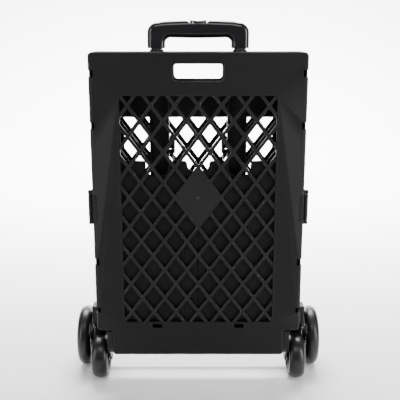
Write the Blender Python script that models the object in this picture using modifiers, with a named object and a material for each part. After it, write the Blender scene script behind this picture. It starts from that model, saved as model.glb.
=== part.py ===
"""Folding shopping trolley, modelled folded flat with its handle pushed down.

The body is two lattice shells that meet like a suitcase. Each side wall between them
is two halves joined by a hinge, and folds inwards like a book. The base panel stands
up behind the front lattice. X is across, Z is up and the front faces -Y. Every shape
below is drawn with Y as the depth behind the front face, and one empty moves it all so
that the origin is on the floor under the middle of the folded trolley.
"""

import math

import bmesh
import bpy
from mathutils import Matrix, Vector

# Body shells (metres)
HALF_WIDTH = 0.210
RIM_Z = 0.693
SKIRT_Z = 0.072
ARCH_Z = 0.125
ARCH_RISE = 0.0025
SKIRT_HALF_WIDTH = 0.178
TOP_CORNER = 0.006
LOW_CORNER = 0.0045
ARCH_CORNER = 0.002
SKIN = 0.0035
WALL = 0.0035
FRONT_DEPTH = (0.0, 0.030)
BACK_DEPTH = (0.0325, 0.077)

# Lattice
CELL_X = 0.0456
CELL_Z = 0.0605
BAR_WIDTH = 0.0062
BACK_BAR_WIDTH = 0.0087
CROSSING_Z = 0.5921
WINDOW_X = (-0.152, 0.152)
FRONT_WINDOW_Z = (0.146, 0.611)
BACK_WINDOW_Z = (0.200, 0.5616)
PLATE_Z = CROSSING_Z - 3 * CELL_Z
SMALLEST_HOLE = 5.0e-5
HOLE_MARGIN = 0.0003
GRILLE_RIM = 0.0020
RIB_DEPTH = 0.0075
BOSS_RADIUS = 0.006
BOSS_HEIGHT = 0.0005

# Hand slot through both shells
SLOT_HALF_WIDTH = 0.0485
SLOT_Z = (0.639, 0.671)
SLOT_RADIUS = 0.008
SLOT_RIB = 0.003

# Side halves and their hinges
BOARD_THICKNESS = 0.012
BOARD_SKIN = 0.003
SIDE_WINDOW_RIB = 0.0025
FRONT_HALF_DEPTH = (0.0215, 0.0335)
REAR_HALF_DEPTH = (0.0365, 0.0485)
BOARD_Z = (0.135, 0.684)
OUTER_AXIS_X = 0.198
MID_AXIS_X = 0.050
EDGE_GAP = 0.0073
SIDE_WINDOW_X = (0.0955, 0.176)
SIDE_WINDOW_Z = (0.175, 0.5690)
FRONT_AXIS_DEPTH = sum(FRONT_HALF_DEPTH) / 2
REAR_AXIS_DEPTH = sum(REAR_HALF_DEPTH) / 2
MID_AXIS_DEPTH = (FRONT_AXIS_DEPTH + REAR_AXIS_DEPTH) / 2
HINGE_Z = ((0.166, 0.178), (0.2685, 0.2834), (0.546, 0.560), (0.646, 0.660))
MID_HINGE_Z = (0.170, 0.340, 0.508)
OUTER_KNUCKLE_RADIUS = BOARD_THICKNESS / 2
MID_KNUCKLE_RADIUS = 0.004
MID_KNUCKLE_HEIGHT = 0.0085
HINGE_PIN_RADIUS = 0.0015
PIN_GAP = 0.0004
LUG_HEIGHT = 0.012
LUG_GAP = 0.0006
REAR_LUG_DEPTH = 0.0400
KNUCKLE_INSET = 0.0005
POCKET_X = 0.2005
POCKET_DEPTH = 0.016
MID_ARM_GAP = 0.0010
MID_ARM_REACH = 0.006
MID_PIN_OVERHANG = 0.015

# Base panel, standing behind the front lattice
BASE_DEPTH = (0.0085, 0.0185)
BASE_HALF_WIDTH = 0.184
BASE_Z = (0.1455, 0.4834)
BASE_AXIS = (0.0135, 0.138)
BASE_KNUCKLE_X = (0.0748, 0.0945)
BASE_KNUCKLE_RADIUS = 0.0045
BASE_SHEET = 0.0025
BASE_RIM_TOP = 0.440
BASE_RIB_X = (0.0265, 0.110)
BASE_RIB_HALF = 0.0012
BASE_SLOT = (0.002, 0.195, 0.340, 0.0015)
BASE_LUG_X = ((0.060, 0.072), (0.0975, 0.1095))
BASE_LUG_HALF_HEIGHT = 0.0055
BASE_PIN_HALF_LENGTH = 0.112
# Notches in its free edge: middle x, half width, depth; then half width, depth
TUBE_NOTCH = (0.0815, 0.022, 0.028)
FINGER_NOTCH = (0.0215, 0.020)

# Handle; each tube is (radius, low z, high z)
TUBE_X = 0.082
TUBE_DEPTH = 0.0622
TUBE_WALL = 0.001
OUTER_TUBE = (0.0100, 0.135, 0.6958)
MID_TUBE = (0.0087, 0.150, 0.6985)
INNER_TUBE = (0.0074, 0.176, 0.7195)
HOUSING_X = (0.0615, 0.0950)
HOUSING_DEPTH = (0.0512, 0.0732)
HOUSING_Z = (0.128, 0.689)
HOUSING_CHAMFER = (0.006, 0.007)
OUTER_COLLAR = (0.0140, 0.0025)
MID_COLLAR = (0.0125, 0.0023)
COLLAR_GAP = 0.0004
PLUG_LENGTH = 0.018
GRIP_HALF_WIDTH = 0.0998
GRIP_OPENING = 0.0646
GRIP_Z = (0.6989, 0.7520)
GRIP_UNDERSIDE_Z = 0.7190
GRIP_DEPTH = 0.028
GRIP_SEAM = 0.0003
LEG_BORE_LENGTH = 0.0225
YOKE_CHANNEL = (0.0865, 0.004, 0.7200, 0.7315)
STEM_CHANNEL = (0.003, 0.003, 0.7310, 0.7445)
SPRING_WELL = (0.7365, 0.010, 0.0052)
SCREW_X = 0.045
SCREW_Z = 0.739
SCREW_HOLE_RADIUS = 0.0018
SCREW_HEAD_DEPTH = 0.0095
SCREW_WELL_RADIUS = 0.0034
BUTTON_TRAVEL = 0.0035
BUTTON_SEAT_Z = 0.7425
BUTTON_SEAT = (0.0135, 0.0225, 0.760)
BUTTON_POCKET = (0.0134, 0.0128, 0.7387, 0.7430)
BUTTON_FACE = (0.0118, 0.0165, 0.7525)
BUTTON_GAP = 0.0005
BUTTON_INSET = 0.0015
BUTTON_DISH = (0.7930, 0.0425)
STEM_RADIUS = 0.0022
SPRING_LOW_Z = 0.7369
SPRING_RADIUS = 0.0038
SPRING_WIRE = 0.0004
SPRING_TURNS = 4
YOKE_Z = 0.7275
YOKE_RADIUS = 0.0015
YOKE_BEND = 0.003
YOKE_FOOT_GAP = 0.006

# Wheels: (centre x, depth, radius, width)
REAR_WHEEL = (0.250, 0.116, 0.066, 0.030)
FRONT_WHEEL = (0.210, 0.050, 0.0468, 0.034)
REAR_AXLE_RADIUS = 0.005
FRONT_AXLE_RADIUS = 0.003
SEAT_SHARE = 0.68
RIM_SHARE = 0.40
BOSS_SHARE = 0.24
WEB_HALF = 0.0035
RIM_WALL = 0.005
REAR_BRACKET_X = (0.188, 0.2315)
REAR_ARM_X = 0.222
REAR_ARM_TOP = 0.148
REAR_ARM_DEPTH = (0.0, 0.20)
REAR_RELIEF_HEIGHT = 0.10
FRONT_BRACKET_X = (SKIRT_HALF_WIDTH + 0.0003, 0.1905)
FRONT_ARM_X = 0.186
FRONT_ARM_TOP = 0.0705

# Latches on the sides
LATCH_Z = (0.3625, 0.4155)
LATCH_AXIS = (0.2155, 0.012)
LATCH_PIN_RADIUS = 0.0012
LATCH_BARREL_RADIUS = 0.0045
LATCH_TIP_DEPTH = 0.0625
LATCH_TAB_DEPTH = (0.052, 0.0605)
LATCH_TAB_REACH = 0.0045
LATCH_STOP_DEPTH = (0.0635, 0.0680)
LATCH_STOP_X = 0.2145
EAR_HEIGHT = 0.008
EAR_GAP = 0.0005
EAR_HALF_DEPTH = 0.0045
EAR_REACH = 0.0042

RUNNING_GAP = 0.0003
OVERLAP = 0.001
TUBE_SIDES = 16
TYRE_SIDES = 24
HUB_SIDES = 16
FRONT_Y = -(REAR_WHEEL[1] + REAR_WHEEL[2]) / 2

# Name: colour, roughness, metallic
FINISHES = {
    "shell_plastic": ((0.020, 0.020, 0.021), 0.62, 0.0),
    "panel_plastic": ((0.017, 0.017, 0.018), 0.66, 0.0),
    "housing_plastic": ((0.024, 0.024, 0.025), 0.55, 0.0),
    "grip_plastic": ((0.012, 0.012, 0.015), 0.28, 0.0),
    "button_plastic": ((0.030, 0.030, 0.034), 0.22, 0.0),
    "latch_plastic": ((0.010, 0.010, 0.010), 0.45, 0.0),
    "tyre_rubber": ((0.014, 0.014, 0.014), 0.35, 0.0),
    "hub_plastic": ((0.022, 0.022, 0.022), 0.50, 0.0),
    "tube_aluminium": ((0.50, 0.51, 0.53), 0.32, 1.0),
    "pin_steel": ((0.42, 0.42, 0.43), 0.35, 1.0),
}


# ---------------------------------------------------------------- scene helpers

def clear_scene():
    for item in list(bpy.data.objects):
        bpy.data.objects.remove(item, do_unlink=True)


def make_collection(name):
    collection = bpy.data.collections.new(name)
    bpy.context.scene.collection.children.link(collection)
    return collection


def make_material(name):
    colour, roughness, metallic = FINISHES[name]
    material = bpy.data.materials.new(name)
    material.use_nodes = True
    shader = material.node_tree.nodes["Principled BSDF"]
    shader.inputs["Base Color"].default_value = (*colour, 1.0)
    shader.inputs["Roughness"].default_value = roughness
    shader.inputs["Metallic"].default_value = metallic
    material.diffuse_color = (*colour, 1.0)
    return material


def link_mesh(name, mesh):
    item = bpy.data.objects.new(name, mesh)
    WORKBENCH.objects.link(item)
    return item


def from_bmesh(name, mesh_edit):
    bmesh.ops.recalc_face_normals(mesh_edit, faces=mesh_edit.faces)
    mesh = bpy.data.meshes.new(name)
    mesh_edit.to_mesh(mesh)
    mesh_edit.free()
    return link_mesh(name, mesh)


def evaluated_mesh(item):
    bpy.context.view_layer.update()
    depsgraph = bpy.context.evaluated_depsgraph_get()
    return bpy.data.meshes.new_from_object(item.evaluated_get(depsgraph))


def combine(target, tools, operation):
    """Apply one exact Boolean for each tool, and take the tools away."""
    for tool in tools:
        modifier = target.modifiers.new(operation, "BOOLEAN")
        modifier.solver = "EXACT"
        modifier.operation = operation
        modifier.object = tool
        result = evaluated_mesh(target)
        target.modifiers.clear()
        target.data = result
        bpy.data.objects.remove(tool, do_unlink=True)


def join(target, *tools):
    combine(target, tools, "UNION")


def cut(target, *tools):
    combine(target, tools, "DIFFERENCE")


def merge_flat_faces(mesh_edit):
    bmesh.ops.remove_doubles(mesh_edit, verts=mesh_edit.verts, dist=0.000005)
    bmesh.ops.dissolve_limit(mesh_edit, angle_limit=math.radians(0.2), verts=mesh_edit.verts,
                             edges=mesh_edit.edges)


def simplify(item):
    """Merge the coplanar faces that a chain of Booleans leaves behind."""
    mesh_edit = bmesh.new()
    mesh_edit.from_mesh(item.data)
    merge_flat_faces(mesh_edit)
    mesh_edit.to_mesh(item.data)
    mesh_edit.free()


def mirrored(item):
    """A copy of an object on the other side of the X = 0 plane."""
    mesh = item.data.copy()
    mesh.transform(Matrix.Scale(-1.0, 4, (1, 0, 0)))
    mesh.flip_normals()
    return link_mesh(item.name, mesh)


def publish(item, name, finish, origin=(0.0, 0.0, 0.0)):
    """Name a finished piece, give it its material and put its origin on its axis."""
    item.name = name
    item.data.name = name
    item.data.transform(Matrix.Translation(-Vector(origin)))
    item.location = origin
    item.parent = BASE_EMPTY
    item.data.materials.clear()
    item.data.materials.append(MATERIALS[finish])
    item.data.shade_smooth()
    item.data.set_sharp_from_angle(angle=math.radians(35))
    WORKBENCH.objects.unlink(item)
    PARTS.objects.link(item)


def publish_pair(item, name, finish, origin=(0.0, 0.0, 0.0)):
    """Publish a piece drawn on the +X side, and its mirror image on the -X side."""
    other = mirrored(item)
    publish(other, name + "_l", finish, (-origin[0], origin[1], origin[2]))
    publish(item, name + "_r", finish, origin)


# ---------------------------------------------------------------- shape helpers

def box(low, high):
    mesh_edit = bmesh.new()
    bmesh.ops.create_cube(mesh_edit, size=1.0)
    size = Vector(high) - Vector(low)
    middle = (Vector(high) + Vector(low)) / 2
    bmesh.ops.scale(mesh_edit, vec=size, verts=mesh_edit.verts)
    bmesh.ops.translate(mesh_edit, vec=middle, verts=mesh_edit.verts)
    return from_bmesh("box", mesh_edit)


def axis_rotation(axis):
    """Turns +Z onto the named axis."""
    if axis == "X":
        return Matrix.Rotation(math.radians(90), 4, "Y")
    if axis == "Y":
        return Matrix.Rotation(math.radians(-90), 4, "X")
    return Matrix.Identity(4)


def rod(start, axis, length, radius, sides=8):
    """A solid cylinder from a start point along +X, +Y or +Z."""
    mesh_edit = bmesh.new()
    place = Matrix.Translation(start) @ axis_rotation(axis)
    bmesh.ops.create_cone(mesh_edit, cap_ends=True, segments=sides, radius1=radius,
                          radius2=radius, depth=length,
                          matrix=place @ Matrix.Translation((0, 0, length / 2)))
    return from_bmesh("rod", mesh_edit)


def turned(profile, axis, place, sides, closed):
    """Screw a (radius, height) profile round an axis; it runs down its outer side."""
    mesh = bpy.data.meshes.new("profile")
    points = [(radius, 0.0, height) for radius, height in profile]
    edges = [(i, i + 1) for i in range(len(points) - 1)]
    if closed:
        edges.append((len(points) - 1, 0))
    mesh.from_pydata(points, edges, [])
    item = link_mesh("turned", mesh)
    screw = item.modifiers.new("Screw", "SCREW")
    screw.axis = "Z"
    screw.angle = math.tau
    screw.steps = sides
    screw.render_steps = sides
    screw.use_merge_vertices = True
    screw.merge_threshold = 0.00001
    solid = evaluated_mesh(item)
    item.modifiers.clear()
    item.data = solid
    item.data.transform(Matrix.Translation(place) @ axis_rotation(axis))
    return item


def ring(start, length, inner, outer):
    """An upright tube or collar."""
    profile = [(outer, length), (outer, 0.0), (inner, 0.0), (inner, length)]
    return turned(profile, "Z", start, TUBE_SIDES, True)


PLANES = {
    "XZ": Matrix(((1, 0, 0, 0), (0, 0, -1, 0), (0, 1, 0, 0), (0, 0, 0, 1))),
    "YZ": Matrix(((0, 0, 1, 0), (1, 0, 0, 0), (0, 1, 0, 0), (0, 0, 0, 1))),
    "XY": Matrix.Identity(4),
}
NORMALS = {"XZ": (0, 1, 0), "YZ": (1, 0, 0), "XY": (0, 0, 1)}


def plate(outline, holes, span, plane="XZ"):
    """A flat outline with holes, filled and extruded over a span normal to its plane."""
    curve = bpy.data.curves.new("plate", "CURVE")
    curve.dimensions = "2D"
    curve.fill_mode = "BOTH"
    curve.extrude = (span[1] - span[0]) / 2
    for points in [outline, *holes]:
        spline = curve.splines.new("POLY")
        spline.points.add(len(points) - 1)
        for point, (across, up) in zip(spline.points, points):
            point.co = (across, up, 0.0, 1.0)
        spline.use_cyclic_u = True
    flat = bpy.data.objects.new("plate", curve)
    WORKBENCH.objects.link(flat)
    mesh = evaluated_mesh(flat)
    bpy.data.objects.remove(flat, do_unlink=True)
    offset = Vector(NORMALS[plane]) * (span[0] + span[1]) / 2
    mesh.transform(Matrix.Translation(offset) @ PLANES[plane])
    mesh_edit = bmesh.new()
    mesh_edit.from_mesh(mesh)
    merge_flat_faces(mesh_edit)
    return from_bmesh("plate", mesh_edit)


def rectangle(low_x, high_x, low_z, high_z):
    return [(low_x, low_z), (high_x, low_z), (high_x, high_z), (low_x, high_z)]


def rounded(corners, steps=2):
    """Replace each (x, z, radius) corner by an arc of that radius."""
    points = []
    for index, (x, z, radius) in enumerate(corners):
        corner = Vector((x, z))
        before = (Vector(corners[index - 1][:2]) - corner).normalized()
        after = (Vector(corners[(index + 1) % len(corners)][:2]) - corner).normalized()
        half = before.angle(after) / 2
        centre = corner + (before + after).normalized() * radius / math.sin(half)
        first = (corner + before * radius / math.tan(half) - centre).normalized()
        last = (corner + after * radius / math.tan(half) - centre).normalized()
        for step in range(steps + 1):
            spoke = first.slerp(last, step / steps) * radius
            points.append(tuple(centre + spoke))
    return points


def rounded_rectangle(half_width, low_z, high_z, radius, steps=2):
    """An upright rectangle, centred across, with rounded corners."""
    return rounded([(x, z, radius) for x, z in rectangle(-half_width, half_width, low_z, high_z)], steps)


def clip(points, axis, limit, sign):
    """Keep the part of a convex polygon where sign * (coordinate - limit) <= 0."""
    kept = []
    for index, end in enumerate(points):
        start = points[index - 1]
        start_over = sign * (start[axis] - limit)
        end_over = sign * (end[axis] - limit)
        if start_over * end_over < 0:
            share = start_over / (start_over - end_over)
            kept.append(tuple(a + (b - a) * share for a, b in zip(start, end)))
        if end_over <= 0:
            kept.append(end)
    return kept


def area(points):
    total = sum(points[i - 1][0] * points[i][1] - points[i][0] * points[i - 1][1]
                for i in range(len(points)))
    return abs(total) / 2


def lattice_holes(x_span, z_span, middle_x=0.0, plate_z=None, bar_width=BAR_WIDTH):
    """Diamond holes between the lattice bars, cut off at the window's edge."""
    half_x, half_z = CELL_X / 2, CELL_Z / 2
    shrink = 1 - bar_width / 2 * math.hypot(1 / half_x, 1 / half_z)
    holes = []
    for row in range(-30, 31):
        z = CROSSING_Z + row * half_z
        for column in range(-20, 21):
            if (row + column) % 2 == 0:
                continue
            x = middle_x + column * half_x
            near_plate = plate_z is not None and abs(z - plate_z) < CELL_Z * 0.75
            if near_plate and abs(x) / CELL_X + abs(z - plate_z) / CELL_Z < 0.75:
                continue
            hole = [(x + shrink * half_x, z), (x, z + shrink * half_z),
                    (x - shrink * half_x, z), (x, z - shrink * half_z)]
            for axis, limits in ((0, x_span), (1, z_span)):
                hole = clip(hole, axis, limits[1] - HOLE_MARGIN, 1)
                hole = clip(hole, axis, limits[0] + HOLE_MARGIN, -1)
            if len(hole) > 2 and area(hole) > SMALLEST_HOLE:
                holes.append(hole)
    return holes


# ---------------------------------------------------------------- shells

def shell_outline(inset=0.0):
    """Both shells' outline: a tall panel with its lower corners cut away for wheels."""
    side = HALF_WIDTH - inset
    skirt = SKIRT_HALF_WIDTH - inset
    top, arch, low = RIM_Z - inset, ARCH_Z + inset, SKIRT_Z + inset
    low_corner = LOW_CORNER - inset
    right = [(skirt, low, low_corner), (skirt, arch, ARCH_CORNER + inset),
             (side, arch + ARCH_RISE, low_corner), (side, top, TOP_CORNER - inset)]
    left = [(-x, z, radius) for x, z, radius in reversed(right)]
    return rounded(right + left)


def slot_outline(grow=0.0):
    return rounded_rectangle(SLOT_HALF_WIDTH + grow, SLOT_Z[0] - grow, SLOT_Z[1] + grow,
                             SLOT_RADIUS + grow)


def window(x_span, z_span, grow=0.0):
    return rectangle(x_span[0] - grow, x_span[1] + grow, z_span[0] - grow, z_span[1] + grow)


def prisms(outlines, span):
    """Separate solids over the same span, drawn as one cutter."""
    return plate(outlines[0], outlines[1:], span)


def both_sides(low, high):
    """Two boxes, one on each side of X = 0."""
    return [box(low, high), box((-high[0], low[1], low[2]), (-low[0], high[1], high[2]))]


def hinge_lugs(shell, axis_depth, lug_depth):
    """Knuckles inside a shell's side walls, one above each of the side's knuckles."""
    reach = HALF_WIDTH - WALL + OVERLAP
    for _, knuckle_top in HINGE_Z:
        low, high = knuckle_top + LUG_GAP, knuckle_top + LUG_GAP + LUG_HEIGHT
        join(shell, *both_sides((OUTER_AXIS_X, lug_depth[0], low), (reach, lug_depth[1], high)))
        for side in (-1, 1):
            start = (side * OUTER_AXIS_X, axis_depth, low - 0.0001)
            join(shell, rod(start, "Z", high - low + 0.0002, OUTER_KNUCKLE_RADIUS - 0.0008))
    for side in (-1, 1):
        start = (side * OUTER_AXIS_X, axis_depth, BOARD_Z[0])
        length = BOARD_Z[1] - BOARD_Z[0]
        cut(shell, rod(start, "Z", length, HINGE_PIN_RADIUS + PIN_GAP))


def hinge_pockets(shell):
    """Square openings in the front shell's long edges, one in front of each knuckle."""
    for low, high in HINGE_Z:
        cut(shell, *both_sides((POCKET_X, -OVERLAP, low), (HALF_WIDTH + OVERLAP, POCKET_DEPTH, high)))


def make_front_panel():
    """The front frame: skin, side walls and skirt, with a ribbed edge round its window."""
    opening = window(WINDOW_X, FRONT_WINDOW_Z, GRILLE_RIM + RUNNING_GAP)
    ribbed = window(WINDOW_X, FRONT_WINDOW_Z, GRILLE_RIM + RUNNING_GAP + WALL)
    slot_z = (BASE_AXIS[1] - BASE_KNUCKLE_RADIUS - 0.0005, BASE_AXIS[1] + BASE_KNUCKLE_RADIUS)
    hinge_slots = [window(x_span, slot_z)
                   for x_span in (BASE_KNUCKLE_X, tuple(-x for x in reversed(BASE_KNUCKLE_X)))]
    shell = plate(shell_outline(), [], FRONT_DEPTH)
    cut(shell, plate(shell_outline(WALL), [], (RIB_DEPTH, FRONT_DEPTH[1] + OVERLAP)),
        plate(shell_outline(WALL + 0.0002), [ribbed, slot_outline(SLOT_RIB)], (SKIN, RIB_DEPTH + 0.0005)),
        prisms([opening, slot_outline(), *hinge_slots], (-OVERLAP, RIB_DEPTH + OVERLAP)))
    hinge_pockets(shell)
    hinge_lugs(shell, FRONT_AXIS_DEPTH, (FRONT_HALF_DEPTH[0], FRONT_DEPTH[1] - 0.0004))
    add_base_lugs(shell)
    add_latch_ears(shell)
    simplify(shell)
    publish(shell, "front_panel", "shell_plastic")


def make_grille(name, z_span, depth_span, holes, boss=None):
    """A flat diamond lattice that fills one shell's window."""
    grille = plate(window(WINDOW_X, z_span, GRILLE_RIM), [], depth_span)
    cut(grille, prisms(holes, (depth_span[0] - OVERLAP, depth_span[1] + OVERLAP)))
    if boss:
        join(grille, boss)
    simplify(grille)
    publish(grille, name, "shell_plastic")


def make_grilles():
    """The front one has a solid diamond in its middle with a small round boss."""
    boss = rod((0.0, -BOSS_HEIGHT, PLATE_Z), "Y", SKIN, BOSS_RADIUS, 16)
    make_grille("front_grille", FRONT_WINDOW_Z, (0.0, SKIN),
                lattice_holes(WINDOW_X, FRONT_WINDOW_Z, plate_z=PLATE_Z), boss)
    make_grille("back_grille", BACK_WINDOW_Z, (BACK_DEPTH[1] - SKIN, BACK_DEPTH[1]),
                lattice_holes(WINDOW_X, BACK_WINDOW_Z, bar_width=BACK_BAR_WIDTH))


def add_base_lugs(shell):
    """Four small ears behind the front skin that hold the base panel's hinge pin."""
    depth, height = BASE_AXIS
    for inner, outer in BASE_LUG_X:
        low = (inner, SKIN - OVERLAP, height - BASE_LUG_HALF_HEIGHT)
        high = (outer, depth + 0.004, height + BASE_LUG_HALF_HEIGHT)
        join(shell, *both_sides(low, high))
    cut(shell, base_pin_hole())


def base_pin_hole():
    half_length = BASE_PIN_HALF_LENGTH + 0.013
    return rod((-half_length, *BASE_AXIS), "X", 2 * half_length, HINGE_PIN_RADIUS + PIN_GAP)


def add_latch_ears(shell):
    """Ears on the outer side walls, above and below each latch."""
    x, depth = LATCH_AXIS
    for low in (LATCH_Z[0] - EAR_GAP - EAR_HEIGHT, LATCH_Z[1] + EAR_GAP):
        join(shell, *both_sides((HALF_WIDTH - OVERLAP, depth - EAR_HALF_DEPTH, low),
                                (x + EAR_REACH, depth + EAR_HALF_DEPTH, low + EAR_HEIGHT)))
    past = EAR_GAP + EAR_HEIGHT + OVERLAP
    for side in (-1, 1):
        start = (side * x, depth, LATCH_Z[0] - past)
        cut(shell, rod(start, "Z", LATCH_Z[1] - LATCH_Z[0] + 2 * past, LATCH_PIN_RADIUS + PIN_GAP))


def make_back_panel():
    """The back frame, with borders that stand out behind round its window and slot."""
    skin_front = BACK_DEPTH[1] - SKIN
    behind = BACK_DEPTH[1] + SKIN
    opening = window(WINDOW_X, BACK_WINDOW_Z, GRILLE_RIM + RUNNING_GAP)
    ribbed = window(WINDOW_X, BACK_WINDOW_Z, GRILLE_RIM + RUNNING_GAP + WALL)
    shell = plate(shell_outline(), [], BACK_DEPTH)
    cut(shell, plate(shell_outline(WALL), [], (BACK_DEPTH[0] - OVERLAP, skin_front)))
    for outer, inner in ((ribbed, opening), (slot_outline(SLOT_RIB), slot_outline(0.0002))):
        join(shell, plate(outer, [inner], (skin_front + OVERLAP, behind)))
    cut(shell, prisms([opening, slot_outline()], (skin_front - OVERLAP, behind + OVERLAP)))
    hinge_lugs(shell, REAR_AXIS_DEPTH, (REAR_LUG_DEPTH, REAR_HALF_DEPTH[1]))
    for side in (-1, 1):
        start = (side * TUBE_X, TUBE_DEPTH, RIM_Z - 0.010)
        cut(shell, rod(start, "Z", 0.020, OUTER_TUBE[0] + PIN_GAP, TUBE_SIDES))
    join(shell, *both_sides((HALF_WIDTH - OVERLAP, LATCH_STOP_DEPTH[0], LATCH_Z[0]),
                            (LATCH_STOP_X, LATCH_STOP_DEPTH[1], LATCH_Z[1])))
    simplify(shell)
    publish(shell, "back_panel", "shell_plastic")


def make_base_panel():
    """Ribbed panel with notches in its free edge that clear the tube housings."""
    low, top = BASE_Z
    tube_x, notch_half, notch_deep = TUBE_NOTCH
    finger_half, finger_deep = FINGER_NOTCH
    right = [(BASE_HALF_WIDTH, low, 0.004), (BASE_HALF_WIDTH, top, 0.008),
             (tube_x + notch_half, top, 0.004), (tube_x + notch_half, top - notch_deep, 0.012),
             (tube_x - notch_half, top - notch_deep, 0.012), (tube_x - notch_half, top, 0.004),
             (finger_half, top, 0.004), (finger_half, top - finger_deep, 0.010)]
    left = [(-x, z, radius) for x, z, radius in reversed(right)]
    outline = rounded(right + left)
    front, back = BASE_DEPTH
    panel = plate(outline, [rounded_rectangle(*BASE_SLOT, steps=1)], (front, front + BASE_SHEET))
    x_span = (-BASE_HALF_WIDTH, BASE_HALF_WIDTH)
    rim = window(x_span, (low, BASE_RIM_TOP))
    join(panel, plate(rim, [window(x_span, (low, BASE_RIM_TOP), -0.003)], (front, back)))
    for x in BASE_RIB_X:
        join(panel, *both_sides((x - BASE_RIB_HALF, front + OVERLAP, low + OVERLAP),
                                (x + BASE_RIB_HALF, back - OVERLAP, BASE_RIM_TOP - OVERLAP)))
    depth, height = BASE_AXIS
    knuckle_low = (BASE_KNUCKLE_X[0] + 0.0005, depth - BASE_KNUCKLE_RADIUS, height - BASE_KNUCKLE_RADIUS)
    knuckle_high = (BASE_KNUCKLE_X[1] - 0.0005, depth + BASE_KNUCKLE_RADIUS, low + 0.002)
    join(panel, *both_sides(knuckle_low, knuckle_high))
    cut(panel, base_pin_hole())
    simplify(panel)
    publish(panel, "base_panel", "panel_plastic")


# ---------------------------------------------------------------- folding sides

def side_board(pocket, depth_span, outer_depth, mid_height_offsets):
    """One half of a side wall, drawn folded on the +X side, hollowed over one span."""
    low_x, high_x = MID_AXIS_X + EDGE_GAP, OUTER_AXIS_X - EDGE_GAP
    holes = lattice_holes(SIDE_WINDOW_X, SIDE_WINDOW_Z, middle_x=sum(SIDE_WINDOW_X) / 2)
    ribbed = window(SIDE_WINDOW_X, SIDE_WINDOW_Z, SIDE_WINDOW_RIB)
    board = plate(rectangle(low_x, high_x, *BOARD_Z), [], depth_span)
    inner = window((low_x, high_x), BOARD_Z, -BOARD_SKIN)
    cut(board, plate(inner, [ribbed], pocket), plate(window(SIDE_WINDOW_X, SIDE_WINDOW_Z), [], pocket),
        prisms(holes, (depth_span[0] - OVERLAP, depth_span[1] + OVERLAP)))
    add_outer_knuckles(board, high_x, depth_span, outer_depth)
    for middle_z in MID_HINGE_Z:
        for offset in mid_height_offsets:
            add_mid_knuckle(board, middle_z + offset, depth_span)
    pin_hole = HINGE_PIN_RADIUS + PIN_GAP
    length = BOARD_Z[1] - BOARD_Z[0]
    cut(board, rod((OUTER_AXIS_X, outer_depth, BOARD_Z[0]), "Z", length, pin_hole),
        rod((MID_AXIS_X, MID_AXIS_DEPTH, BOARD_Z[0]), "Z", length, pin_hole))
    simplify(board)
    return board


def add_outer_knuckles(board, edge_x, depth_span, axis_depth):
    """Barrels on the outer hinge, with the arms that carry them."""
    for low, high in HINGE_Z:
        join(board, box((edge_x - 2 * OVERLAP, depth_span[0] + KNUCKLE_INSET, low),
                        (OUTER_AXIS_X, depth_span[1] - KNUCKLE_INSET, high)))
        join(board, rod((OUTER_AXIS_X, axis_depth, low - 0.0001), "Z", high - low + 0.0002,
                        OUTER_KNUCKLE_RADIUS - 0.0002))


def add_mid_knuckle(board, middle_z, depth_span):
    """A barrel on the middle hinge, with the short arm that carries it."""
    low = middle_z - MID_KNUCKLE_HEIGHT / 2
    if depth_span[0] > MID_AXIS_DEPTH:
        arm_depth = (MID_AXIS_DEPTH + MID_ARM_GAP, depth_span[0] + MID_ARM_REACH)
    else:
        arm_depth = (depth_span[1] - MID_ARM_REACH, MID_AXIS_DEPTH - MID_ARM_GAP)
    join(board, box((MID_AXIS_X, arm_depth[0], low),
                    (MID_AXIS_X + EDGE_GAP + 2 * OVERLAP, arm_depth[1], low + MID_KNUCKLE_HEIGHT)))
    start = (MID_AXIS_X, MID_AXIS_DEPTH, low - 0.0001)
    join(board, rod(start, "Z", MID_KNUCKLE_HEIGHT + 0.0002, MID_KNUCKLE_RADIUS))


def make_sides():
    step = MID_KNUCKLE_HEIGHT + LUG_GAP
    front_pocket = (FRONT_HALF_DEPTH[0] - OVERLAP, FRONT_HALF_DEPTH[1] - BOARD_SKIN)
    rear_pocket = (REAR_HALF_DEPTH[0] + BOARD_SKIN, REAR_HALF_DEPTH[1] + OVERLAP)
    front_half = side_board(front_pocket, FRONT_HALF_DEPTH, FRONT_AXIS_DEPTH, (-step, step))
    rear_half = side_board(rear_pocket, REAR_HALF_DEPTH, REAR_AXIS_DEPTH, (0.0,))
    publish_pair(front_half, "side_front", "panel_plastic", (MID_AXIS_X, MID_AXIS_DEPTH, 0.0))
    publish_pair(rear_half, "side_rear", "panel_plastic", (OUTER_AXIS_X, REAR_AXIS_DEPTH, 0.0))


def make_hinge_pins():
    low, high = HINGE_Z[0][0] - 2 * OVERLAP, HINGE_Z[-1][1] + LUG_GAP + LUG_HEIGHT + OVERLAP
    mid_low, mid_high = MID_HINGE_Z[0] - MID_PIN_OVERHANG, MID_HINGE_Z[-1] + MID_PIN_OVERHANG
    places = (("front_hinge_pin", OUTER_AXIS_X, FRONT_AXIS_DEPTH, low, high),
              ("rear_hinge_pin", OUTER_AXIS_X, REAR_AXIS_DEPTH, low, high),
              ("mid_hinge_pin", MID_AXIS_X, MID_AXIS_DEPTH, mid_low, mid_high))
    for name, x, depth, start, end in places:
        pin = rod((x, depth, start), "Z", end - start, HINGE_PIN_RADIUS, 10)
        publish_pair(pin, name, "pin_steel", (x, depth, 0.0))
    pin = rod((-BASE_PIN_HALF_LENGTH, *BASE_AXIS), "X", 2 * BASE_PIN_HALF_LENGTH, HINGE_PIN_RADIUS, 10)
    publish(pin, "base_hinge_pin", "pin_steel")


# ---------------------------------------------------------------- handle

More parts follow.
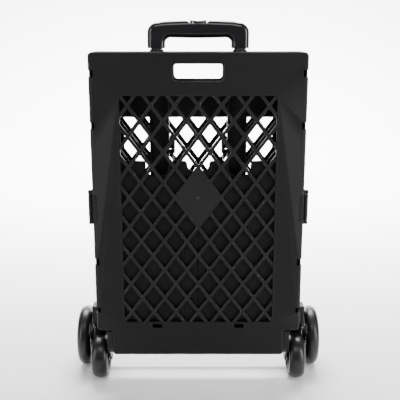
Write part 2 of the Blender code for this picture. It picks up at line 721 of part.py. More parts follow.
def make_tube_housings():
    """Channels that hold the outer tubes against the back panel."""
    front, back = HOUSING_DEPTH
    low_x, high_x = HOUSING_X
    across, deep = HOUSING_CHAMFER
    corners = [(low_x, back), (low_x, front + deep), (low_x + across, front),
               (high_x - across, front), (high_x, front + deep), (high_x, back)]
    housing = plate(corners, [], HOUSING_Z, "XY")
    bore_length = HOUSING_Z[1] - OUTER_TUBE[1] + OVERLAP
    bore_start = (TUBE_X, TUBE_DEPTH, OUTER_TUBE[1] - RUNNING_GAP)
    cut(housing, rod(bore_start, "Z", bore_length, OUTER_TUBE[0] + PIN_GAP, TUBE_SIDES))
    publish_pair(housing, "tube_housing", "housing_plastic")


def make_tubes():
    """Three nested tubes on each side, the collars on their mouths and the foot plugs."""
    for name, (radius, low, high) in (("outer_tube", OUTER_TUBE), ("mid_tube", MID_TUBE),
                                      ("inner_tube", INNER_TUBE)):
        start = (TUBE_X, TUBE_DEPTH, low)
        tube = ring(start, high - low, radius - TUBE_WALL, radius)
        publish_pair(tube, name, "tube_aluminium", (TUBE_X, TUBE_DEPTH, low))
    for name, (radius, length), low, tube in (
            ("outer_collar", OUTER_COLLAR, RIM_Z + RUNNING_GAP, OUTER_TUBE),
            ("mid_collar", MID_COLLAR, OUTER_TUBE[2] + COLLAR_GAP, MID_TUBE)):
        collar = ring((TUBE_X, TUBE_DEPTH, low), length, tube[0] + RUNNING_GAP, radius)
        publish_pair(collar, name, "housing_plastic")
    radius, low, _ = INNER_TUBE
    plug = rod((TUBE_X, TUBE_DEPTH, low), "Z", PLUG_LENGTH, radius - TUBE_WALL - 0.0004, TUBE_SIDES)
    publish_pair(plug, "inner_plug", "housing_plastic", (TUBE_X, TUBE_DEPTH, low))


def grip_top(x):
    """The grip's back is highest in the middle and falls a little to each shoulder."""
    return GRIP_Z[1] - 0.004 * (x / GRIP_HALF_WIDTH) ** 2


def grip_outline():
    low = GRIP_Z[0]
    shoulder, armpit, bow = 0.019, 0.009, 0.0012
    top = [(x, grip_top(x)) for x in (0.075, 0.050, 0.025, 0.0)]
    corner = [(GRIP_HALF_WIDTH, low), (GRIP_HALF_WIDTH, grip_top(GRIP_HALF_WIDTH) - shoulder)]
    for step in (1, 2, 3):
        angle = math.radians(22.5 * step)
        corner.append((GRIP_HALF_WIDTH - shoulder * (1 - math.cos(angle)),
                       grip_top(GRIP_HALF_WIDTH) - shoulder * (1 - math.sin(angle))))
    right = [*corner, *top]
    left = [(-x, z) for x, z in reversed(right[:-1])]
    under = [(-GRIP_OPENING, low), (-GRIP_OPENING, GRIP_UNDERSIDE_Z - armpit)]
    for step in (1, 2, 3):
        angle = math.radians(22.5 * step)
        under.append((-GRIP_OPENING + armpit * (1 - math.cos(angle)),
                      GRIP_UNDERSIDE_Z - armpit * (1 - math.sin(angle))))
    under.append((-GRIP_OPENING + 0.012, GRIP_UNDERSIDE_Z))
    belly = [(0.0, GRIP_UNDERSIDE_Z - bow)]
    return right + left + under + belly + [(-x, z) for x, z in reversed(under)]


def make_grip():
    """Two half shells that clamp the inner tubes and leave a channel for the yoke."""
    half_depth = GRIP_DEPTH / 2
    narrow, wide, top = BUTTON_SEAT
    seat = [(-narrow, BUTTON_SEAT_Z), (narrow, BUTTON_SEAT_Z), (wide, top), (-wide, top)]
    spans = {"grip_front": (TUBE_DEPTH - half_depth, TUBE_DEPTH - GRIP_SEAM / 2),
             "grip_rear": (TUBE_DEPTH + GRIP_SEAM / 2, TUBE_DEPTH + half_depth)}
    for name, span in spans.items():
        half = plate(grip_outline(), [], span)
        cut(half, plate(seat, [], (span[0] - OVERLAP, span[1] + OVERLAP)))
        hollow_grip(half)
        publish(half, name, "grip_plastic")
    shank = rod((SCREW_X, TUBE_DEPTH - 0.0075, SCREW_Z), "Y", 0.018, 0.0014)
    head = (SCREW_X, TUBE_DEPTH + SCREW_HEAD_DEPTH + RUNNING_GAP, SCREW_Z)
    join(shank, rod(head, "Y", 0.0022, 0.0030, 12))
    publish_pair(shank, "grip_screw", "pin_steel")


def hollow_grip(half):
    """Cut the yoke's channel, the button's pocket and the leg and screw holes."""
    for across, deep, low, high in (YOKE_CHANNEL, STEM_CHANNEL, BUTTON_POCKET):
        cut(half, box((-across, TUBE_DEPTH - deep, low), (across, TUBE_DEPTH + deep, high)))
    low, length, radius = SPRING_WELL
    cut(half, rod((0.0, TUBE_DEPTH, low), "Z", length, radius, 16))
    for side in (-1, 1):
        bore = (side * TUBE_X, TUBE_DEPTH, GRIP_Z[0] - OVERLAP)
        cut(half, rod(bore, "Z", LEG_BORE_LENGTH, INNER_TUBE[0] + RUNNING_GAP, TUBE_SIDES))
        cut(half, rod((side * SCREW_X, TUBE_DEPTH - 0.008, SCREW_Z), "Y", 0.030, SCREW_HOLE_RADIUS))
        well = (side * SCREW_X, TUBE_DEPTH + SCREW_HEAD_DEPTH, SCREW_Z)
        cut(half, rod(well, "Y", 0.010, SCREW_WELL_RADIUS, 12))


def make_button():
    """A dished push button, hollow over its spring, whose stem presses the yoke."""
    low = BUTTON_SEAT_Z + BUTTON_GAP
    spring_top = low + BUTTON_TRAVEL
    half_depth = GRIP_DEPTH / 2 - BUTTON_INSET
    narrow, wide, top = BUTTON_FACE
    face = [(-narrow, low), (narrow, low), (wide, top), (-wide, top)]
    button = plate(face, [], (TUBE_DEPTH - half_depth, TUBE_DEPTH + half_depth))
    dish_z, dish_radius = BUTTON_DISH
    dish = rod((0.0, TUBE_DEPTH - half_depth - OVERLAP, dish_z), "Y", GRIP_DEPTH, dish_radius, 40)
    well = rod((0.0, TUBE_DEPTH, low - OVERLAP), "Z", OVERLAP + BUTTON_TRAVEL, SPRING_WELL[2], 16)
    cut(button, dish, well)
    stem_low = YOKE_Z + YOKE_RADIUS + RUNNING_GAP
    stem_length = spring_top + OVERLAP - stem_low
    join(button, rod((0.0, TUBE_DEPTH, stem_low), "Z", stem_length, STEM_RADIUS, 10))
    publish(button, "button", "button_plastic", (0.0, TUBE_DEPTH, stem_low))
    make_spring(SPRING_LOW_Z, spring_top - RUNNING_GAP)
    make_yoke()


def tube_along(points, radius, resolution):
    """A round wire through the given points, with its ends closed."""
    curve = bpy.data.curves.new("wire", "CURVE")
    curve.dimensions = "3D"
    curve.bevel_depth = radius
    curve.bevel_resolution = resolution
    curve.use_fill_caps = True
    spline = curve.splines.new("POLY")
    spline.points.add(len(points) - 1)
    for point, place in zip(spline.points, points):
        point.co = (*place, 1.0)
    wire = bpy.data.objects.new("wire", curve)
    WORKBENCH.objects.link(wire)
    mesh = evaluated_mesh(wire)
    bpy.data.objects.remove(wire, do_unlink=True)
    mesh_edit = bmesh.new()
    mesh_edit.from_mesh(mesh)
    bmesh.ops.remove_doubles(mesh_edit, verts=mesh_edit.verts, dist=0.00001)
    return from_bmesh("wire", mesh_edit)


def make_spring(low, high):
    """The coil under the button, wound round its stem."""
    per_turn = 8
    steps = SPRING_TURNS * per_turn
    points = []
    for step in range(steps + 1):
        angle = math.tau * step / per_turn
        height = low + SPRING_WIRE + (high - low - 2 * SPRING_WIRE) * step / steps
        points.append((SPRING_RADIUS * math.cos(angle), TUBE_DEPTH + SPRING_RADIUS * math.sin(angle), height))
    publish(tube_along(points, SPRING_WIRE, 1), "button_spring", "pin_steel")


def make_yoke():
    """Bent wire that carries the button's stroke down both inner tubes."""
    low = INNER_TUBE[1] + PLUG_LENGTH + YOKE_FOOT_GAP
    right = [(TUBE_X, low), (TUBE_X, YOKE_Z - YOKE_BEND),
             (TUBE_X - YOKE_BEND * 0.3, YOKE_Z - YOKE_BEND * 0.3), (TUBE_X - YOKE_BEND, YOKE_Z)]
    path = right + [(-x, z) for x, z in reversed(right)]
    points = [(x, TUBE_DEPTH, z) for x, z in path]
    publish(tube_along(points, YOKE_RADIUS, 2), "release_yoke", "pin_steel", (0.0, TUBE_DEPTH, YOKE_Z))


# ---------------------------------------------------------------- wheels

def tyre_profile(radius, width, inner):
    """A full round tread on a flat seat, running down its outer side."""
    half = width / 2
    points = []
    for step in range(6):
        angle = math.radians(90 - 36 * step)
        crown = inner + 0.004 + (radius - inner - 0.004) * abs(math.cos(angle)) ** 0.75
        points.append((crown, half * math.sin(angle)))
    return points + [(inner, -half * 0.86), (inner, half * 0.86)]


def make_wheel(name, wheel, axle_radius, inner_boss, cap_radius):
    """A tyre, the hub that carries it and an outer cap, on both sides."""
    x, depth, radius, width = wheel
    origin = (x, depth, radius)
    seat = radius * SEAT_SHARE
    tyre = turned(tyre_profile(radius, width, seat), "X", origin, TYRE_SIDES, True)
    publish_pair(tyre, name + "_tyre", "tyre_rubber", origin)
    rim = seat * math.cos(math.pi / TYRE_SIDES) - RUNNING_GAP
    web, half = WEB_HALF, width * RIM_SHARE
    boss = radius * BOSS_SHARE
    bore = axle_radius + RUNNING_GAP
    inside, taper = rim - RIM_WALL, 0.001
    profile = [(rim, half), (rim, -half), (inside, -half), (inside - taper, -web), (boss + taper, -web),
               (boss, -inner_boss), (bore, -inner_boss), (bore, half), (boss, half), (boss + taper, web),
               (inside - taper, web), (inside, half)]
    publish_pair(turned(profile, "X", origin, HUB_SIDES, True), name + "_hub", "hub_plastic", origin)
    cap = [(0.0, width / 2 + 0.0015), (cap_radius * 0.6, width / 2 + 0.001), (cap_radius, half + 0.0025),
           (cap_radius, half + RUNNING_GAP), (0.0, half + RUNNING_GAP)]
    publish_pair(turned(cap, "X", origin, HUB_SIDES, False), name + "_cap", "housing_plastic", origin)


def make_axles():
    """One through axle for the rear wheels and a stub axle for each front wheel."""
    x, depth, height, width = REAR_WHEEL
    half = x + width * RIM_SHARE - OVERLAP
    publish(rod((-half, depth, height), "X", 2 * half, REAR_AXLE_RADIUS, 16), "rear_axle", "pin_steel")
    x, depth, height, width = FRONT_WHEEL
    start, end = FRONT_ARM_X + OVERLAP, x + width * RIM_SHARE - OVERLAP
    stub = rod((start, depth, height), "X", end - start, FRONT_AXLE_RADIUS, 16)
    publish_pair(stub, "front_axle", "pin_steel")


def make_rear_brackets():
    """Carriers behind the back panel, clear of the front wheels when folded."""
    _, depth, height, _ = REAR_WHEEL
    face = BACK_DEPTH[1] + RUNNING_GAP
    outline = [(face, 0.190), (face, 0.110), (0.1070, 0.104), (0.1070, 0.060), (0.1110, 0.054),
               (0.1210, 0.054), (0.1270, 0.060), (0.1285, 0.110), (0.1100, 0.145), (face + 0.006, 0.190)]
    relief = box((REAR_ARM_X, REAR_ARM_DEPTH[0], REAR_ARM_TOP),
                 (REAR_BRACKET_X[1] + OVERLAP, REAR_ARM_DEPTH[1], REAR_ARM_TOP + REAR_RELIEF_HEIGHT))
    publish_bracket(outline, REAR_BRACKET_X, (depth, height), REAR_AXLE_RADIUS, "rear_bracket", relief)


def make_front_brackets():
    """Carriers on the front shell's skirt; a thin arm reaches down beside each wheel."""
    _, depth, height, _ = FRONT_WHEEL
    outline = [(0.006, 0.1222), (0.006, 0.084), (0.0415, 0.0400), (0.0580, 0.0400), (0.0595, 0.0470),
               (0.0580, 0.0580), (0.0290, 0.0930), (0.0290, 0.1222)]
    relief = box((FRONT_BRACKET_X[0] - OVERLAP, 0.0, 0.030), (FRONT_ARM_X, 0.080, FRONT_ARM_TOP))
    publish_bracket(outline, FRONT_BRACKET_X, (depth, height), FRONT_AXLE_RADIUS, "front_bracket", relief)


def publish_bracket(outline, x_span, axle, axle_radius, name, *reliefs):
    bracket = plate(outline, [], x_span, "YZ")
    bore = rod((x_span[0] - OVERLAP, *axle), "X", x_span[1] - x_span[0] + 2 * OVERLAP,
               axle_radius + RUNNING_GAP, 16)
    cut(bracket, bore, *reliefs)
    publish_pair(bracket, name, "housing_plastic")


# ---------------------------------------------------------------- latches

def make_latches():
    """Side clips that swing on the front shell and lie over the back shell's wall."""
    x, depth = LATCH_AXIS
    low, high = LATCH_Z
    inner = HALF_WIDTH + RUNNING_GAP
    latch = rod((x, depth, low), "Z", high - low, LATCH_BARREL_RADIUS, 16)
    join(latch, box((inner + 0.0005, depth, low), (x + OVERLAP, LATCH_TIP_DEPTH, high)))
    join(latch, box((x - OVERLAP, LATCH_TAB_DEPTH[0], low), (x + LATCH_TAB_REACH, LATCH_TAB_DEPTH[1], high)))
    cut(latch, rod((x, depth, low - OVERLAP), "Z", high - low + 2 * OVERLAP, LATCH_PIN_RADIUS + PIN_GAP))
    publish_pair(latch, "latch", "latch_plastic", (x, depth, 0.0))
    pin = rod((x, depth, low - EAR_HEIGHT), "Z", high - low + 2 * EAR_HEIGHT, LATCH_PIN_RADIUS)
    publish_pair(pin, "latch_pin", "pin_steel", (x, depth, 0.0))


clear_scene()
PARTS = make_collection("shopping_trolley")
WORKBENCH = make_collection("workbench")
BASE_EMPTY = bpy.data.objects.new("trolley_origin", None)
BASE_EMPTY.location = (0.0, FRONT_Y, 0.0)
PARTS.objects.link(BASE_EMPTY)
MATERIALS = {name: make_material(name) for name in FINISHES}

make_front_panel()
make_back_panel()
make_grilles()
make_base_panel()
make_sides()
make_hinge_pins()
make_tube_housings()
make_tubes()
make_grip()
make_button()
make_wheel("rear_wheel", REAR_WHEEL, REAR_AXLE_RADIUS, 0.0165, 0.014)
make_wheel("front_wheel", FRONT_WHEEL, FRONT_AXLE_RADIUS, 0.0180, 0.010)
make_axles()
make_rear_brackets()
make_front_brackets()
make_latches()
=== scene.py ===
"""The folding shopping trolley's looks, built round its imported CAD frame.

Depth is measured backwards from the front shell's face, as in the CAD, and at() turns
(x, depth, z) into the frame's coordinates. Sizes are in metres.
"""

import math

import bmesh
import bpy
from mathutils import Matrix, Vector


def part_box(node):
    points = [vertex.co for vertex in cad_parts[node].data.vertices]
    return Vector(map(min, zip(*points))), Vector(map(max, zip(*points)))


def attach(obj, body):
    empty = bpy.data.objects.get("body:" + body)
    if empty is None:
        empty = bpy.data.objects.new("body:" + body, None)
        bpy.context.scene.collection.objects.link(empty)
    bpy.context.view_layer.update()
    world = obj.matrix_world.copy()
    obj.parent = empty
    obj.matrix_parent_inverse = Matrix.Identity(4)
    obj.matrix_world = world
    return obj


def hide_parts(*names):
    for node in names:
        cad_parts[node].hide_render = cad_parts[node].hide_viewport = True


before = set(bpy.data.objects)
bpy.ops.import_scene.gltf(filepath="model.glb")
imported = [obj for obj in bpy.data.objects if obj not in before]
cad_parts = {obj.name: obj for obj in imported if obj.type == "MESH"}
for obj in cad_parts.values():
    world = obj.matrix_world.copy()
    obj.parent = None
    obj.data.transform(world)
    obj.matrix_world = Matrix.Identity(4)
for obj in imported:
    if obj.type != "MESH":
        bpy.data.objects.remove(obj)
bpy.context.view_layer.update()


def span(node, axis):
    """Lowest and highest coordinate of a CAD node along one axis."""
    low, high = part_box(node)
    return low["xyz".index(axis)], high["xyz".index(axis)]


def middle(node, axis):
    return sum(span(node, axis)) / 2


def depth_of(node):
    """How far a CAD node's middle lies behind the front shell's face."""
    return middle(node, "y") - FRONT_Y


SIDES = ((-1, "l"), (1, "r"))

# Wall thicknesses, and planes and heights read from the frame
SKIN = 0.0035
WALL = 0.0035
FRONT_Y = span("front_panel", "y")[0]
SKIRT_Z, RIM_Z = span("back_panel", "z")
FRONT_BACK = 0.030
BACK_FRONT = span("back_panel", "y")[0] - FRONT_Y
BACK_FACE = span("back_panel", "y")[1] - FRONT_Y - SKIN

# Shell outline
HALF_WIDTH = 0.210
ARCH_Z = 0.125
ARCH_RISE = 0.0025
SKIRT_HALF_WIDTH = 0.178
EDGE_ROUND = 0.0040

# Lattice
CELL_X = 0.0456
CELL_Z = 0.0605
BAR_WIDTH = 0.0062
BACK_BAR_WIDTH = 0.0087
CROSSING_Z = 0.5921
PLATE_Z = CROSSING_Z - 3 * CELL_Z
WINDOW_X = (-0.152, 0.152)
FRONT_WINDOW_Z = (0.146, 0.611)
BACK_WINDOW_Z = (0.200, 0.5616)
SIDE_WINDOW_X = (0.0955, 0.176)
SIDE_WINDOW_Z = (0.175, 0.5690)
RIB_DEPTH = 0.0075
SMALLEST_HOLE = 1.2e-5
HOLE_ROUND = 0.0010
FRAME_MARGIN = 0.0025
BAR_EDGE = 0.0014
BEAD = 0.0006

# Round boss on the centre plate: how far it stands out, and the groove round it
BOSS = 0.0005
GROOVE = 0.0015

# Recesses for the latches in the front shell's long edges
CLIP_Z = span("latch_r", "z")
CLIP_SEAT_X = 0.2016
CLIP_SEAT_Z = (0.3625, 0.4155)
CLIP_SEAT_DEPTH = 0.020
CLIP_FIT = 0.0004

# Carriers: where the rear ones narrow, and where the front ones thin to an arm
REAR_ARM_X = 0.222
REAR_ARM_TOP = 0.148
FRONT_ARM_X = (0.170, 0.186)
FRONT_ARM_TOP = 0.0705
CARRIER_ROLL = 0.0014

# Base panel: foot, rib frame, and its notches for the tube housings and for fingers
BASE_LOW = 0.1455
BASE_SKIN = 0.0025
RIB_FRAME_TOP = 0.440
TUBE_NOTCH_X = (0.0595, 0.1035)
TUBE_NOTCH_DEEP = 0.028
FINGER_NOTCH = (0.0215, 0.020)

# Hand slot
SLOT_HALF_WIDTH = 0.0485
SLOT_Z = (0.639, 0.671)
SLOT_RADIUS = 0.008

# Folding sides
HINGE_Z = ((0.166, 0.178), (0.2685, 0.2834), (0.546, 0.560), (0.646, 0.660))
MID_HINGE_Z = (0.170, 0.340, 0.508)
BOARD_THICKNESS = 0.012
PIN_CLEARANCE = 0.0073
MID_KNUCKLE_HEIGHT = 0.0085
LUG_GAP = 0.0006
LUG_HEIGHT = 0.012
PIN_X = middle("front_hinge_pin_r", "x")
MID_X = middle("mid_hinge_pin_r", "x")
FRONT_PIN_DEPTH = depth_of("front_hinge_pin_r")
REAR_PIN_DEPTH = depth_of("rear_hinge_pin_r")
MID_PIN_DEPTH = depth_of("mid_hinge_pin_r")

# Handle
TUBE_X = middle("inner_tube_r", "x")
TUBE_DEPTH = depth_of("inner_tube_r")
GRIP_HALF_WIDTH = span("grip_front", "x")[1]
GRIP_OPENING = 0.0646
GRIP_LOW, GRIP_TOP = span("grip_front", "z")
GRIP_UNDERSIDE = 0.7190
GRIP_HALF_DEPTH = 0.014
GRIP_ROUND = 0.0105
GRIP_NOTCH = ((0.0168, 0.7475), (0.0345, 0.760))
POCKET_HALF = (0.0168, 0.0128)
POCKET_Z = (0.7387, 0.7477)
SCREW_X = 0.045
SCREW_Z = 0.739
BUTTON_FOOT = 0.7430
BUTTON_HALF_WIDTHS = (0.0161, 0.0165)
DIP = 0.0016
HOUSING_X = (0.0615, 0.0950)
HOUSING_SLOPE = (0.006, 0.007)
HOUSING_BORE = 0.0104
TUBE_WALL = 0.001

# Wheels
TYRE_SEAT = 0.68
HUB_HALF = 0.40


# --- materials

def links(tree, *pairs):
    for output, target in pairs:
        tree.links.new(output, target)


def set_inputs(node, **values):
    for key, value in values.items():
        node.inputs[key.replace("_", " ")].default_value = value


def noise(tree, place, scale, detail, roughness=0.5):
    node = tree.nodes.new("ShaderNodeTexNoise")
    set_inputs(node, Scale=scale, Detail=detail, Roughness=roughness)
    tree.links.new(place, node.inputs["Vector"])
    return node.outputs["Fac"]


def map_range(tree, value, from_low, from_high, to_low, to_high):
    node = tree.nodes.new("ShaderNodeMapRange")
    set_inputs(node, From_Min=from_low, From_Max=from_high, To_Min=to_low, To_Max=to_high)
    tree.links.new(value, node.inputs["Value"])
    return node.outputs["Result"]


def mix_colour(tree, factor, first, second):
    node = tree.nodes.new("ShaderNodeMix")
    node.data_type = "RGBA"
    for socket, colour in ((node.inputs["A"], first), (node.inputs["B"], second)):
        if isinstance(colour, tuple):
            socket.default_value = (*colour, 1.0)
        else:
            tree.links.new(colour, socket)
    tree.links.new(factor, node.inputs["Factor"])
    return node.outputs["Result"]


def base_material(name, metallic=0.0, coat=0.0, specular=0.5):
    material = bpy.data.materials.new(name)
    material.use_nodes = True
    tree = material.node_tree
    shader = tree.nodes["Principled BSDF"]
    set_inputs(shader, Metallic=metallic, Coat_Weight=coat, Coat_Roughness=0.12, Specular_IOR_Level=specular)
    place = tree.nodes.new("ShaderNodeTexCoord").outputs["Object"]
    return material, tree, shader, place


def surface(tree, shader, colour, roughness, height, relief):
    """Wire colour, roughness and a fine bump into a shader."""
    bump = tree.nodes.new("ShaderNodeBump")
    set_inputs(bump, Distance=relief, Strength=1.0)
    links(tree, (colour, shader.inputs["Base Color"]), (roughness, shader.inputs["Roughness"]),
          (height, bump.inputs["Height"]), (bump.outputs["Normal"], shader.inputs["Normal"]))


def moulded_plastic(name, colour, edge_rub_and_highlight_colour, roughness, grain, relief, coat, specular):
    """Spark-eroded plastic: fine grain, cloudy sheen, and edges painted a little lighter, partly rubbed wear
    and partly a painted highlight along the rounded edges.
    """
    material, tree, shader, place = base_material(name, 0.0, coat, specular)
    cloud = noise(tree, place, 9.0, 4.0)
    speck = noise(tree, place, grain, 2.0)
    patch = map_range(tree, cloud, 0.35, 0.70, 0.0, 1.0)
    darker = tuple(channel * 0.80 for channel in colour)
    body = mix_colour(tree, patch, darker, colour)
    # Pointiness lightens the rounded edges: partly rubbed wear, partly a painted highlight standing in for
    # the light the edges catch
    edge = tree.nodes.new("ShaderNodeNewGeometry").outputs["Pointiness"]
    edge_rub_and_highlight_mask = map_range(tree, edge, 0.505, 0.60, 0.0, 0.75)
    tinted = mix_colour(tree, edge_rub_and_highlight_mask, body, edge_rub_and_highlight_colour)
    shine = map_range(tree, cloud, 0.30, 0.75, roughness - 0.05, roughness + 0.07)
    surface(tree, shader, tinted, shine, speck, relief)
    return material


def rubber(name, colour, roughness):
    """Moulded tyre rubber with a faint dusty bloom and fine grain."""
    material, tree, shader, place = base_material(name, specular=0.40)
    bloom = noise(tree, place, 26.0, 6.0, 0.6)
    dusty = tuple(channel * 1.9 + 0.003 for channel in colour)
    tinted = mix_colour(tree, map_range(tree, bloom, 0.45, 0.80, 0.0, 0.6), colour, dusty)
    shine = map_range(tree, bloom, 0.30, 0.75, roughness - 0.04, roughness + 0.10)
    surface(tree, shader, tinted, shine, noise(tree, place, 900.0, 3.0), 0.00003)
    return material


def drawn_metal(name, colour, roughness, along_z=True):
    """Drawn tube or ground pin: streaks along its length and a soft tarnish."""
    material, tree, shader, place = base_material(name, metallic=1.0)
    stretch = tree.nodes.new("ShaderNodeMapping")
    set_inputs(stretch, Scale=(900.0, 900.0, 14.0) if along_z else (14.0, 900.0, 900.0))
    tree.links.new(place, stretch.inputs["Vector"])
    streak = noise(tree, stretch.outputs["Vector"], 1.0, 3.0)
    tarnish = noise(tree, place, 30.0, 4.0)
    dull = tuple(channel * 0.72 for channel in colour)
    tinted = mix_colour(tree, map_range(tree, tarnish, 0.35, 0.75, 0.0, 1.0), colour, dull)
    shine = map_range(tree, streak, 0.25, 0.75, roughness - 0.08, roughness + 0.12)
    surface(tree, shader, tinted, shine, streak, 0.00001)
    return material


def make_materials():
    """Every finish: base colour and edge colour (partly rubbed wear, partly painted highlight), roughness,
    grain scale and relief, coat, specular.
    """
    black = (
        ("shell", "grained", (0.0042, 0.0043, 0.0042), 0.020, 0.58, 1400.0, 0.00004, 0.0, 0.20),
        # Bars: a lighter base than the shell, and a stronger painted highlight on their rounded edges
        ("bar", "grained", (0.0062, 0.0063, 0.0062), 0.050, 0.50, 1400.0, 0.00004, 0.0, 0.28),
        ("panel", "satin", (0.0030,) * 3, 0.012, 0.50, 1100.0, 0.00003, 0.0, 0.16),
        ("housing", "satin", (0.0040, 0.0040, 0.0042), (0.014, 0.014, 0.015), 0.38, 1200.0,
         0.00002, 0.0, 0.22),
        ("grip", "gloss", (0.0050, 0.0050, 0.0065), (0.012, 0.012, 0.016), 0.22, 700.0,
         0.000006, 0.25, 0.40),
        ("button", "gloss", (0.0080, 0.0080, 0.0095), (0.024, 0.024, 0.028), 0.17, 700.0,
         0.000004, 0.4, 0.5),
        ("latch", "satin", (0.0032, 0.0032, 0.0033), (0.012, 0.012, 0.013), 0.42, 1200.0,
         0.00002, 0.0, 0.28),
        ("hub", "satin", (0.0045,) * 3, 0.014, 0.42, 1200.0, 0.00003, 0.0, 0.32),
    )
    made = {}
    for part, look, colour, edge_rub_and_highlight_colour, *rest in black:
        edge_rub_and_highlight_colour = edge_rub_and_highlight_colour if isinstance(edge_rub_and_highlight_colour, tuple) else (edge_rub_and_highlight_colour,) * 3
        made[part + "_plastic"] = moulded_plastic(f"{part}_{look}", colour, edge_rub_and_highlight_colour, *rest)
    made["tyre_rubber"] = rubber("tyre_rubber_gloss", (0.0045, 0.0045, 0.0046), 0.33)
    made["tube_aluminium"] = drawn_metal("tube_drawn", (0.56, 0.57, 0.59), 0.30)
    made["pin_steel"] = drawn_metal("pin_ground", (0.42, 0.42, 0.43), 0.32)
    made["axle_steel"] = drawn_metal("axle_ground", (0.36, 0.36, 0.37), 0.34, along_z=False)
    return made


# --- mesh helpers

def at(x, depth, z):
    return Vector((x, depth + FRONT_Y, z))


def add_object(name, data):
    made = bpy.data.objects.new(name, data)
    bpy.context.scene.collection.objects.link(made)
    return made


def finish_piece(name, bm, body, finish, *nodes, angle=38):
    """Turn an edit mesh into a smooth-shaded piece that stands for CAD nodes."""
    bmesh.ops.remove_doubles(bm, verts=bm.verts, dist=0.000002)
    bmesh.ops.recalc_face_normals(bm, faces=bm.faces)
    mesh = bpy.data.meshes.new(name)
    bm.to_mesh(mesh)
    bm.free()
    mesh.shade_smooth()
    mesh.set_sharp_from_angle(angle=math.radians(angle))
    piece = add_object(name, mesh)
    mesh.materials.append(MATERIALS[finish])
    weighted = piece.modifiers.new("Flat faces stay flat", "WEIGHTED_NORMAL")
    weighted.keep_sharp = True
    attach(piece, body)
    if nodes:
        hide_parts(*nodes)
    return piece


def area(points):
    return sum(points[i - 1][0] * points[i][1] - points[i][0] * points[i - 1][1]
               for i in range(len(points))) / 2


def mitres(points):
    """Unit-offset directions that point out of an anticlockwise outline."""
    directions = []
    for index, point in enumerate(points):
        here = Vector(point)
        before = (here - Vector(points[index - 1])).normalized()
        after = (Vector(points[(index + 1) % len(points)]) - here).normalized()
        first, second = Vector((before.y, -before.x)), Vector((after.y, -after.x))
        half = (first + second).normalized()
        directions.append(half / max(0.4, half.dot(first)))
    return directions


def xz_place(x, z, level):
    return at(x, level, z)


def moulding(bm, loops, place=xz_place):
    """A closed moulding. Each loop is (points, is_hole, profile) and each profile row
    (grow, level): grow moves the loop away from the material, level is the way through."""
    caps = ([], [])
    for points, is_hole, profile in loops:
        points = points if area(points) > 0 else points[::-1]
        sign = -1 if is_hole else 1
        steps = mitres(points)
        rings = []
        for grow, level in profile:
            rings.append([bm.verts.new(place(x + step.x * grow * sign, y + step.y * grow * sign, level))
                          for (x, y), step in zip(points, steps)])
        for first, second in zip(rings, rings[1:]):
            for i in range(len(points)):
                bm.faces.new((first[i - 1], first[i], second[i], second[i - 1]))
        caps[0].append(rings[0])
        caps[1].append(rings[-1])
    for rings in caps:
        edges = [bm.edges.get((ring[i - 1], ring[i])) for ring in rings for i in range(len(ring))]
        bmesh.ops.triangle_fill(bm, use_beauty=True, use_dissolve=False, edges=edges)


def quarter(steps):
    """Angles from 0 to 90 degrees."""
    return [math.radians(90 * step / steps) for step in range(steps + 1)]


def roll(radius, level, way, steps):
    """Profile rows round one edge, from its face towards its side."""
    return [(-radius * (1 - math.sin(t)), level + way * radius * (1 - math.cos(t))) for t in quarter(steps)]


def rolled(radius, near, far, steps=3):
    """Profile rows from a rounded near edge straight to a rounded far edge."""
    first = roll(radius, near, 1 if far > near else -1, steps)
    return first + [(grow, near + far - level) for grow, level in reversed(first)]


def rectangle(low_x, high_x, low_z, high_z):
    return [(low_x, low_z), (high_x, low_z), (high_x, high_z), (low_x, high_z)]


def rounded(corners, steps=4):
    """Replace each (x, z, radius) corner by an arc of that radius."""
    points = []
    for index, (x, z, radius) in enumerate(corners):
        corner = Vector((x, z))
        before = (Vector(corners[index - 1][:2]) - corner).normalized()
        after = (Vector(corners[(index + 1) % len(corners)][:2]) - corner).normalized()
        half = before.angle(after) / 2
        centre = corner + (before + after).normalized() * radius / math.sin(half)
        first = (corner + before * radius / math.tan(half) - centre).normalized()
        last = (corner + after * radius / math.tan(half) - centre).normalized()
        for step in range(steps + 1):
            points.append(tuple(centre + first.slerp(last, step / steps) * radius))
    return points


def mirrored(right, centre=()):
    """A whole outline from its right half and any points on the centre line."""
    return [*right, *centre, *((-x, *rest) for x, *rest in reversed(right))]


def circle(x, y, radius, count=32):
    turns = [math.tau * i / count for i in range(count)]
    return [(x + radius * math.cos(t), y + radius * math.sin(t)) for t in turns]


def rounded_rectangle(low_x, high_x, low_z, high_z, radius, steps=4):
    return rounded([(x, z, radius) for x, z in rectangle(low_x, high_x, low_z, high_z)], steps)


def bevel(bm, made, radius, steps):
    edges = dict.fromkeys(edge for vert in made for edge in vert.link_edges)
    return bmesh.ops.bevel(bm, geom=[*made, *edges], offset=radius, segments=steps, profile=0.5,
                           affect="EDGES")["verts"]


def soft_box(bm, low, high, radius=0.0008, steps=2):
    """A box with rounded edges, given by two corners in (x, depth, z)."""
    low, high = at(*low), at(*high)
    made = bmesh.ops.create_cube(bm, size=1.0)["verts"]
    size, centre = high - low, (high + low) / 2
    bmesh.ops.scale(bm, vec=size, verts=made)
    bmesh.ops.translate(bm, vec=centre, verts=made)
    bevel(bm, made, min(radius, min(size) * 0.45), steps)


def side_box(bm, side, low, high, radius=0.0008, steps=2):
    """A rounded box on the side -1 or +1, from corners given for the right-hand side."""
    inner, outer = sorted((side * low[0], side * high[0]))
    soft_box(bm, (inner, *low[1:]), (outer, *high[1:]), radius, steps)


def both_sides(bm, low, high, radius=0.0008):
    for side in (1, -1):
        side_box(bm, side, low, high, radius)


AXES = {"X": Matrix.Rotation(math.radians(90), 4, "Y"), "Y": Matrix.Rotation(math.radians(-90), 4, "X"),
        "Z": Matrix.Identity(4)}


